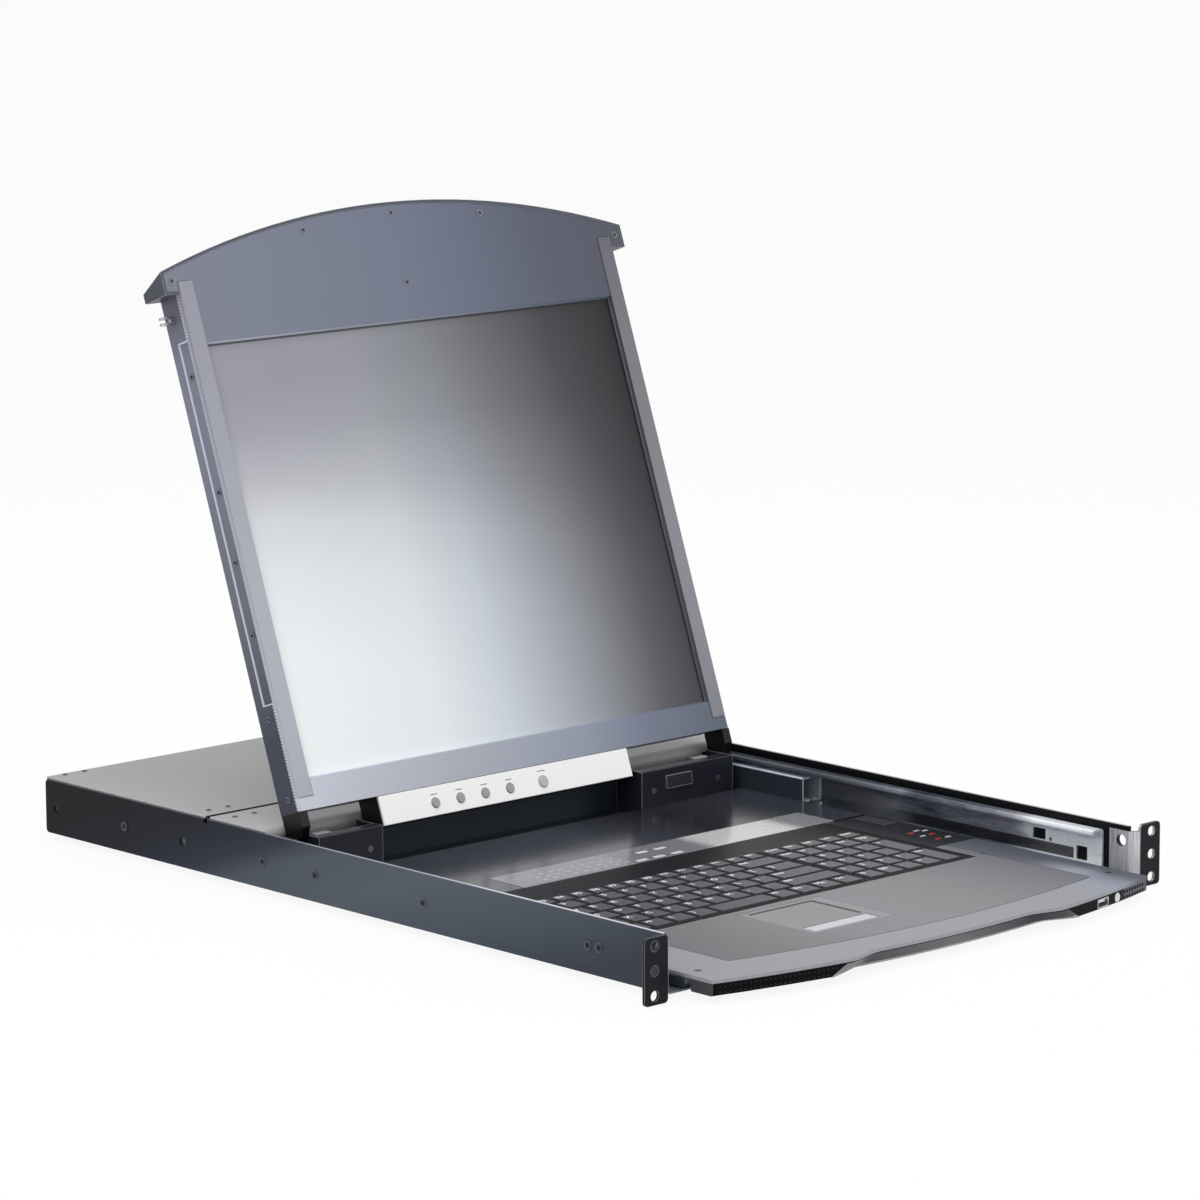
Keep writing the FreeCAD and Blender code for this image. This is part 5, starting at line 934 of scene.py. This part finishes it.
class DRAWER_OT_keys(bpy.types.Operator):
    """Finishes the keys and prints their letters"""

    bl_idname = "drawer.keys"
    bl_label = "Finish the keys"

    rows = {
        "bottom_keys": "Ctrl Fn Sym Alt ( ) Alt Fn Mn Ctrl",
        "lower_keys": "Shift Z X C V B N M , . Shift",
        "home_keys": "Caps A S D F G H J K L ; Enter",
        "upper_keys": "Tab Q W E R T Y U I O P [ ]",
        "number_keys": "~ 1 2 3 4 5 6 7 8 9 0 - Back",
        "function_keys": "Esc F1 F2 F3 F4 F5 F6 F7 F8 F9 F10 F11 F12 Prt Scr Brk",
        "number_pad": "0 00 . = Ent 1 2 3 / 4 5 6 * + 7 8 9 - Num Ins Del End Up Home PgU PgD "
                      "Left Right",
    }
    row_depth = 0.006  # keys within this much of each other stand in one row
    label_inset = (0.0030, 0.0024)
    label_weight = 0.00026
    letter_height = 0.72  # a capital's height as a share of the letters' size
    short_scale = 1.25
    word_scale = 0.82

    def execute(self, context):
        colours = values().moulding
        cap = plastic("key_plastic", colours.key, 0.48, 1500.0, 0.00003, 0.05)
        x = cap.where()[0]
        # Painted light: the keys darker at the left and lighter at the right.
        cap.lay(0.8, cap.fade(x, -0.18, 0.12, (76, 75, 80), (90, 88, 94), (108, 106, 111)))
        # Painted shade on the keys' sides.
        cap.lay((1.0 - cap.facing()[2].step(0.75, 0.97)) * 0.8, shade(colours.key, 0.15))
        # Painted highlight along the keys' edges.
        cap.tint_edges(0.0006, 0.3, 170, 170, 176)
        dress(cap, "space_bar", *self.rows)
        ink = plastic("legend_ink", colours.legend, 0.5, 800.0, 0.0)
        for node, labels in self.rows.items():
            self.print_row(context, node, labels.split(), ink)
        return {"FINISHED"}

    def print_row(self, context, node, labels, ink):
        """Prints the labels of one row, each at the far left corner of its key's top."""
        detail = values().detail
        joined = bmesh.new()
        boxes = sorted(solid_boxes(node), key=lambda ends: (
            round(ends[0].y / self.row_depth), ends[0].x))
        if len(boxes) != len(labels):
            raise RuntimeError("%s has %d keys for %d labels" % (node, len(boxes), len(labels)))
        for (low, high), label in zip(boxes, labels):
            curve = bpy.data.curves.new("label", "FONT")
            curve.body = label
            curve.resolution_u = 2
            curve.size = detail.legend_size * (
                self.short_scale if len(label) < 3 else self.word_scale)
            curve.offset = self.label_weight
            text = bpy.data.objects.new("label", curve)
            context.scene.collection.objects.link(text)
            context.view_layer.update()
            flat = bpy.data.meshes.new_from_object(text)
            right, down = self.label_inset
            flat.transform(Matrix.Translation((
                low.x + right, high.y - down - curve.size * self.letter_height,
                high.z + detail.legend_lift)))
            joined.from_mesh(flat)
            bpy.data.objects.remove(text)
            bpy.data.meshes.remove(flat)
            bpy.data.curves.remove(curve)
        made = bpy.data.meshes.new(node + "_legends")
        joined.to_mesh(made)
        joined.free()
        piece = bpy.data.objects.new(node + "_legends", made)
        settle(piece, ink, frame["nodes"][node]["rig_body"])


# ------------------------------------------------------------------ display
class DRAWER_OT_display(bpy.types.Operator):
    """Finishes the display: its shell, plates, cap, screen, control bar and arms"""

    bl_idname = "drawer.display"
    bl_label = "Finish the display"

    side = (0.1990, 0.1996)  # how far out the shell's sides are
    slot = (0.0965, 0.3506)  # the long slot of each side, from the hinge up
    slot_rim = (-0.0010, 0.0004)
    slot_depth = (-0.0104, 0.0)
    seam = (-0.0113, -0.0098)
    stitch_pitch = 0.0011
    strip_edge = (0.18795, 0.18815)  # the strips beside the screen
    strip_foot = (0.0303, 0.0305)
    strip_gap = 0.1882
    glass_top = (0.3442, 0.3452)
    glass_side = (0.1858, 0.1866)
    screen_width = 0.375

    def execute(self, context):
        colours = values().display
        self.back_shell(colours)
        self.face(colours)
        self.top(colours)
        self.screen(colours)
        self.bar(colours)
        # The arms get a painted highlight along their edges.
        dress(powder_coat("arm_black", tone(10, 10, 12), 0.34, edges=0.9, shine=0.2),
              "hinge_arms")
        return {"FINISHED"}

    def back_shell(self, colours):
        """Slate sides with painted light that lightens them upwards and painted shadow of the cap
        at the top, with pale slot rims and a fine stepped seam as painted highlights.
        """
        shell = powder_coat("display_shell", colours.shell, 0.38, edges=0.45)
        x, y, z = on_display(shell)
        flank = abs(x).step(*self.side)
        # Painted light on the flanks, lighter upwards, with the cap's painted shadow at the top.
        shell.lay(flank * 0.88, shell.fade(
            z, 0.03, 0.38, (48, 49, 66), (48, 54, 70), (84, 88, 99), (104, 107, 117),
            (108, 113, 125), (119, 123, 139), (126, 126, 143), (123, 124, 143), (94, 94, 107)))
        foot, head = self.slot
        rims = shell.band(y, *self.slot_rim, 0.0002) * shell.band(z, foot, head, 0.0003)
        ends = (shell.band(z, head - 0.0008, head + 0.0002, 0.0002)
                + shell.band(z, foot - 0.0003, foot + 0.0007, 0.0002))
        rims = rims.high(ends * shell.band(y, *self.slot_depth, 0.0003))
        stitch = z.mod(self.stitch_pitch).step(0.0003, 0.0007)
        rims = rims.high(shell.band(y, *self.seam, 0.0002) * (0.25 + stitch * 0.75))
        # The pale slot rims and seam line are painted highlights.
        shell.lay(rims * flank * 0.85, tone(214, 216, 230))
        dress(shell, "lcd_back_shell")

    def face(self, colours):
        """The plate under the screen and the two strips beside it, with a painted reflection that
        darkens to the right.
        """
        face = powder_coat("display_face", colours.shell, 0.36, edges=0.5)
        x, y, z = on_display(face)
        above = z.step(*self.strip_foot)
        # Painted reflection across the plate: pale at the left, darker to the right.
        face.lay(0.88, face.fade(
            x, -0.19, 0.19, (216, 219, 232), (205, 208, 221), (190, 195, 207),
            (176, 182, 196), (158, 165, 184), (124, 131, 152), (97, 106, 122)))
        # Painted reflections on the strips: darker upwards, the right strip darker than the left.
        left, right = (face.fade(z, 0.03, 0.39, *tones) for tones in (
            ((172, 176, 185), (172, 177, 186), (166, 171, 180), (157, 160, 168),
             (146, 147, 158), (138, 138, 150)),
            ((138, 138, 146), (142, 141, 149), (139, 138, 146), (127, 126, 131),
             (122, 120, 126), (104, 101, 109))))
        face.lay(abs(x).step(*self.strip_edge) * above * 0.9,
                 face.mix(x.step(-0.01, 0.01), left, right))
        gap = (1.0 - abs(abs(x) - self.strip_gap).step(0.0001, 0.0004)) * above
        face.lay(gap * 0.6, tone(30, 30, 34))
        dress(face, "lcd_front_frame")

    def top(self, colours):
        """The plate over the screen with a painted reflection, and the moulded cap with a painted
        highlight along its edges.
        """
        plate = powder_coat("cap_plate_coat", colours.shell, 0.36, edges=0.3)
        x = on_display(plate)[0]
        # Painted reflection across the plate, darker to the right.
        plate.lay(0.88, plate.fade(
            x, -0.20, 0.20, (124, 128, 142), (120, 126, 143), (116, 122, 140),
            (110, 117, 135), (98, 105, 124), (82, 87, 104), (78, 80, 92)))
        dress(plate, "lcd_cap_plate")
        cap = plastic("cap_plastic", colours.cap, 0.38, 900.0)
        # Painted highlight along the cap's edges.
        cap.tint_edges(0.0010, 0.6, 190, 192, 200)
        dress(cap, "lcd_cap")

    def screen(self, colours):
        """A matt pane with a painted reflection, palest at its lower left and darkest at its
        upper right.
        """
        screen = Paint("matt_screen")
        x, y, z = on_display(screen)
        tooth = screen.noise(screen.place(), 2400.0, 1.0)
        fall = (x + self.screen_width / 2) / self.screen_width + (tooth - 0.5) * 0.01
        # Painted reflection: pale tones low on the pane and darker tones high, both darkening to
        # the right.
        low_tones = screen.ramp(fall, [
            (0.02, colours.screen_light), (0.34, tone(246, 251, 255)),
            (0.50, tone(222, 230, 238)), (0.66, tone(186, 190, 198)),
            (0.82, tone(136, 138, 146)), (0.90, tone(102, 101, 108)), (0.98, tone(80, 79, 86))])
        high_tones = screen.ramp(fall, [
            (0.02, tone(151, 150, 162)), (0.34, tone(147, 148, 156)),
            (0.50, tone(130, 132, 139)), (0.66, tone(100, 100, 106)), (0.82, tone(64, 64, 69)),
            (0.98, colours.screen_dark)])
        rise = (z + (0.28 - z) * (x + 0.18) / 0.6) / 0.35
        blend = screen.ramp(rise, [(place, (level,) * 3) for place, level in (
            (0.20, 0.0), (0.37, 0.09), (0.46, 0.19), (0.54, 0.28), (0.63, 0.45), (0.71, 0.72),
            (0.80, 0.92), (0.89, 1.0))])
        screen.base = screen.mix(blend, low_tones, high_tones)
        # Painted shadow along the pane's top edge.
        screen.lay(z.step(*self.glass_top) * 0.8, tone(30, 30, 34))
        # Painted shade of the recess's side wall along the pane's right edge.
        screen.lay(x.step(*self.glass_side) * 0.85, tone(16, 16, 18))
        screen.set(Roughness=0.45 + (tooth - 0.5) * 0.1, Specular_IOR_Level=0.25)
        screen.bump(tooth, 0.00001, 0.3)
        dress(screen, "lcd_screen")

    def bar(self, colours):
        """The white control bar, its black housing and its buttons."""
        bar = plastic("bar_gloss_white", colours.bar, 0.16, 300.0, 0.000005, 0.015)
        bar.set(Coat_Weight=0.6, Coat_Roughness=0.06)
        dress(bar, "control_face")
        dress(plastic("bar_black", tone(22, 22, 25), 0.35, 700.0), "control_bar")
        button = plastic("button_grey", colours.button, 0.35, 600.0)
        # Darker along the buttons' edges.
        button.tint_edges(0.0006, 0.7, 72, 72, 78)
        dress(button, *("menu_button_%d" % (index + 1) for index in range(4)))
        power = plastic("power_silver", tone(196, 197, 202), 0.3, 600.0)
        # Darker along the power button's edges.
        power.tint_edges(0.0006, 0.5, 110, 110, 118)
        dress(power, "power_button")


# ------------------------------------------------------------------ small added pieces
class DRAWER_OT_indicators(bpy.types.Operator):
    """Makes the indicator windows of the strip and the lamps of the panel beside the pad"""

    bl_idname = "drawer.indicators"
    bl_label = "Make the indicators"

    # All in millimetres.
    windows = ((-9.9, 246.4), (6.0, 246.4), (23.2, 246.4), (6.0, 263.8), (23.2, 263.8))
    tick_start = -98.0
    tick_pitch = 9.4
    tick_columns = 9
    tick_rows = (249.0, 256.5, 264.0)
    plate = ((187.5, 206.0), (200.5, 237.5))
    red_lamps = ((183.0, 177.5), (192.0, 166.0), (184.5, 153.0))
    white_lamps = ((191.5, 180.5), (183.0, 166.0), (194.0, 152.5), (196.5, 177.0))

    def execute(self, context):
        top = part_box("port_strip")[1].z / MM
        self.plates("window_rims", self.windows, (5.9, 2.9), (top - 0.3, top + 0.12), 0.1,
                    plastic("window_rim", tone(30, 30, 34), 0.35, 400.0), "strip")
        self.plates("window_lamps", self.windows, (5.1, 2.2), (top - 0.2, top + 0.3), 0.12,
                    plastic("window_white", tone(214, 216, 222), 0.3, 400.0, 0.0, 0.02), "strip")
        marks = bmesh.new()
        chance = random.Random(5)
        for column in range(self.tick_columns):
            x = self.tick_start + column * self.tick_pitch
            for y in self.tick_rows:
                width = chance.uniform(2.2, 4.6)
                add_block(marks, (x, y, top - 0.1), (x + width, y + 1.5, top + 0.06))
        new_piece("strip_ticks", marks, plastic(
            "tick_ink", tone(196, 196, 200), 0.5, 400.0, 0.0, 0.02), "tray")
        self.beside_pad()
        return {"FINISHED"}

    def beside_pad(self):
        """A small raised plate and three rows of lamps on the panel beside the number pad."""
        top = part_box("lock_panel")[1].z / MM
        low, high = self.plate
        plate = bmesh.new()
        add_block(plate, (*low, top - 0.3), (*high, top + 0.5), 0.3)
        new_piece("lock_plate", plate, plastic("plate_grey", tone(66, 66, 72), 0.3, 500.0),
                  "tray")
        for name, colour, spots in (("red", (206, 66, 48), self.red_lamps),
                                    ("white", (208, 208, 214), self.white_lamps)):
            self.plates("lock_lamps_" + name, spots, (2.4, 1.1), (top - 0.2, top + 0.25), 0.1,
                        plastic("lamp_" + name, tone(*colour), 0.3, 400.0, 0.0, 0.03), "deck")

    def plates(self, name, spots, half, levels, bevel, paint, slot):
        """One piece made of like plates, each centred on its spot."""
        mesh = bmesh.new()
        for x, y in spots:
            add_block(mesh, (x - half[0], y - half[1], levels[0]),
                      (x + half[0], y + half[1], levels[1]), bevel)
        new_piece(name, mesh, paint, "tray")


class DRAWER_OT_screw_crosses(bpy.types.Operator):
    """Puts a dark cross on every screw head"""

    bl_idname = "drawer.screw_crosses"
    bl_label = "Make the screw crosses"

    lift = 0.05 * MM
    face_screw_width = 0.003  # the display's front screws are wider than this across
    face_screw_rise = 0.0002
    arm = (0.32, -0.12, 0.02)  # half width, foot and top of an arm, in millimetres
    skew = 0.35

    def execute(self, context):
        paint = plastic("cross_black", tone(12, 12, 14), 0.5, 400.0)
        half = values().detail.cross_size / MM * 0.5
        width, foot, top = self.arm
        for node, body in (("chassis_screws", "chassis"), ("tray_screws", "tray"),
                           ("lid_screws", "display")):
            mesh = bmesh.new()
            for low, high in solid_boxes(node):
                place = self.head_place(low, high, body)
                for angle in (self.skew, self.skew + math.pi / 2):
                    add_block(mesh, (-half, -width, foot), (half, width, top), 0.0,
                              place @ Matrix.Rotation(angle, 4, "Z"))
            new_piece(node + "_crosses", mesh, paint, body)
        return {"FINISHED"}

    def head_place(self, low, high, body):
        """The middle and turn of a head's outer face, whichever way the head points."""
        spread = high - low
        middle = (low + high) / 2
        if body == "display" and spread.x > self.face_screw_width:
            local = DISPLAY.inverted() @ middle
            front = local.y - self.face_screw_rise - self.lift
            return DISPLAY @ Matrix.Translation((local.x, front, local.z)) @ Matrix.Rotation(
                QUARTER, 4, "X")
        if spread.x <= min(spread.y, spread.z):
            face = high.x + self.lift if middle.x > 0 else low.x - self.lift
            return Matrix.Translation((face, middle.y, middle.z)) @ Matrix.Rotation(
                QUARTER, 4, "Y")
        if spread.y <= min(spread.x, spread.z):
            face = high.y + self.lift if middle.y > 0.3 else low.y - self.lift
            return Matrix.Translation((middle.x, face, middle.z)) @ Matrix.Rotation(
                QUARTER, 4, "X")
        return Matrix.Translation((middle.x, middle.y, high.z + self.lift))


class DRAWER_OT_port_pins(bpy.types.Operator):
    """Makes the rows of contacts in the sockets"""

    bl_idname = "drawer.port_pins"
    bl_label = "Make the contacts"

    # All in millimetres.
    ports = 8
    depth = 6.3  # how far the contacts' feet are inside the sockets' mouths
    rows = ((1.9, 0.0), (0.0, 1.1), (-1.9, 0.0))  # height and sideways shift
    pin_pitch = 2.2
    pin_radius = 0.42
    pin_length = 1.0

    def execute(self, context):
        gold = bright_metal("contact_gold", tone(206, 176, 104), 0.25, EVEN)
        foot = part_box("console_ports")[1].y / MM - self.depth
        mesh = bmesh.new()
        for port in range(self.ports):
            centre = FIRST_PORT + PORT_PITCH * port
            for rise, shift in self.rows:
                for pin in range(5):
                    x = centre + (pin - 2) * self.pin_pitch + shift - 0.5
                    add_pin(mesh, (x, foot, PORT_HEIGHT + rise), self.pin_radius,
                            self.pin_length)
        new_piece("port_contacts", mesh, gold, "chassis")
        return {"FINISHED"}


class DRAWER_OT_bar_marks(bpy.types.Operator):
    """Prints a plain mark above each button of the control bar"""

    bl_idname = "drawer.bar_marks"
    bl_label = "Print the bar's marks"

    # All in millimetres, along and up the display.
    face = -14.7 - 0.05
    thickness = 0.1
    height = 0.6
    marks = ((-87.8, -81.8, 15.0), (-64.8, -58.8, 15.0), (-41.8, -35.8, 15.0),
             (-18.8, -12.8, 15.0), (12.0, 19.0, 16.6))

    def execute(self, context):
        ink = plastic("bar_ink", tone(120, 121, 128), 0.5, 400.0, 0.0, 0.02)
        mesh = bmesh.new()
        for left, right, up in self.marks:
            add_block(mesh, (left, self.face, up),
                      (right, self.face + self.thickness, up + self.height), 0.0, DISPLAY)
        new_piece("bar_marks", mesh, ink, "display")
        return {"FINISHED"}


# ------------------------------------------------------------------ panel and registration
STEPS = (DRAWER_OT_stage, DRAWER_OT_chassis, DRAWER_OT_slides, DRAWER_OT_rear_fittings,
         DRAWER_OT_tray, DRAWER_OT_keys, DRAWER_OT_display, DRAWER_OT_indicators,
         DRAWER_OT_screw_crosses, DRAWER_OT_port_pins, DRAWER_OT_bar_marks)


class DRAWER_PT_panel(bpy.types.Panel):
    """Lists the drawer's values and steps"""

    bl_idname = "DRAWER_PT_panel"
    bl_label = "Console drawer"
    bl_space_type = "VIEW_3D"
    bl_region_type = "UI"
    bl_category = "Drawer"

    def draw(self, context):
        for group in ("metal", "moulding", "display", "detail"):
            box = self.layout.box()
            part = getattr(values(), group)
            for name in part.__annotations__:
                box.prop(part, name)
        for step in STEPS:
            self.layout.operator(step.bl_idname)


CLASSES = (DrawerMetalValues, DrawerMouldingValues, DrawerDisplayValues, DrawerDetailValues,
           DrawerValues, *STEPS, DRAWER_PT_panel)


def register():
    for kind in CLASSES:
        bpy.utils.register_class(kind)
    bpy.types.Scene.drawer_values = bpy.props.PointerProperty(
        type=DrawerValues, name="Drawer", description="Values of the console drawer")


def unregister():
    del bpy.types.Scene.drawer_values
    for kind in reversed(CLASSES):
        bpy.utils.unregister_class(kind)


def main():
    register()
    for step in STEPS:
        group, name = step.bl_idname.split(".")
        getattr(getattr(bpy.ops, group), name)()


if __name__ == "__main__":
    main()
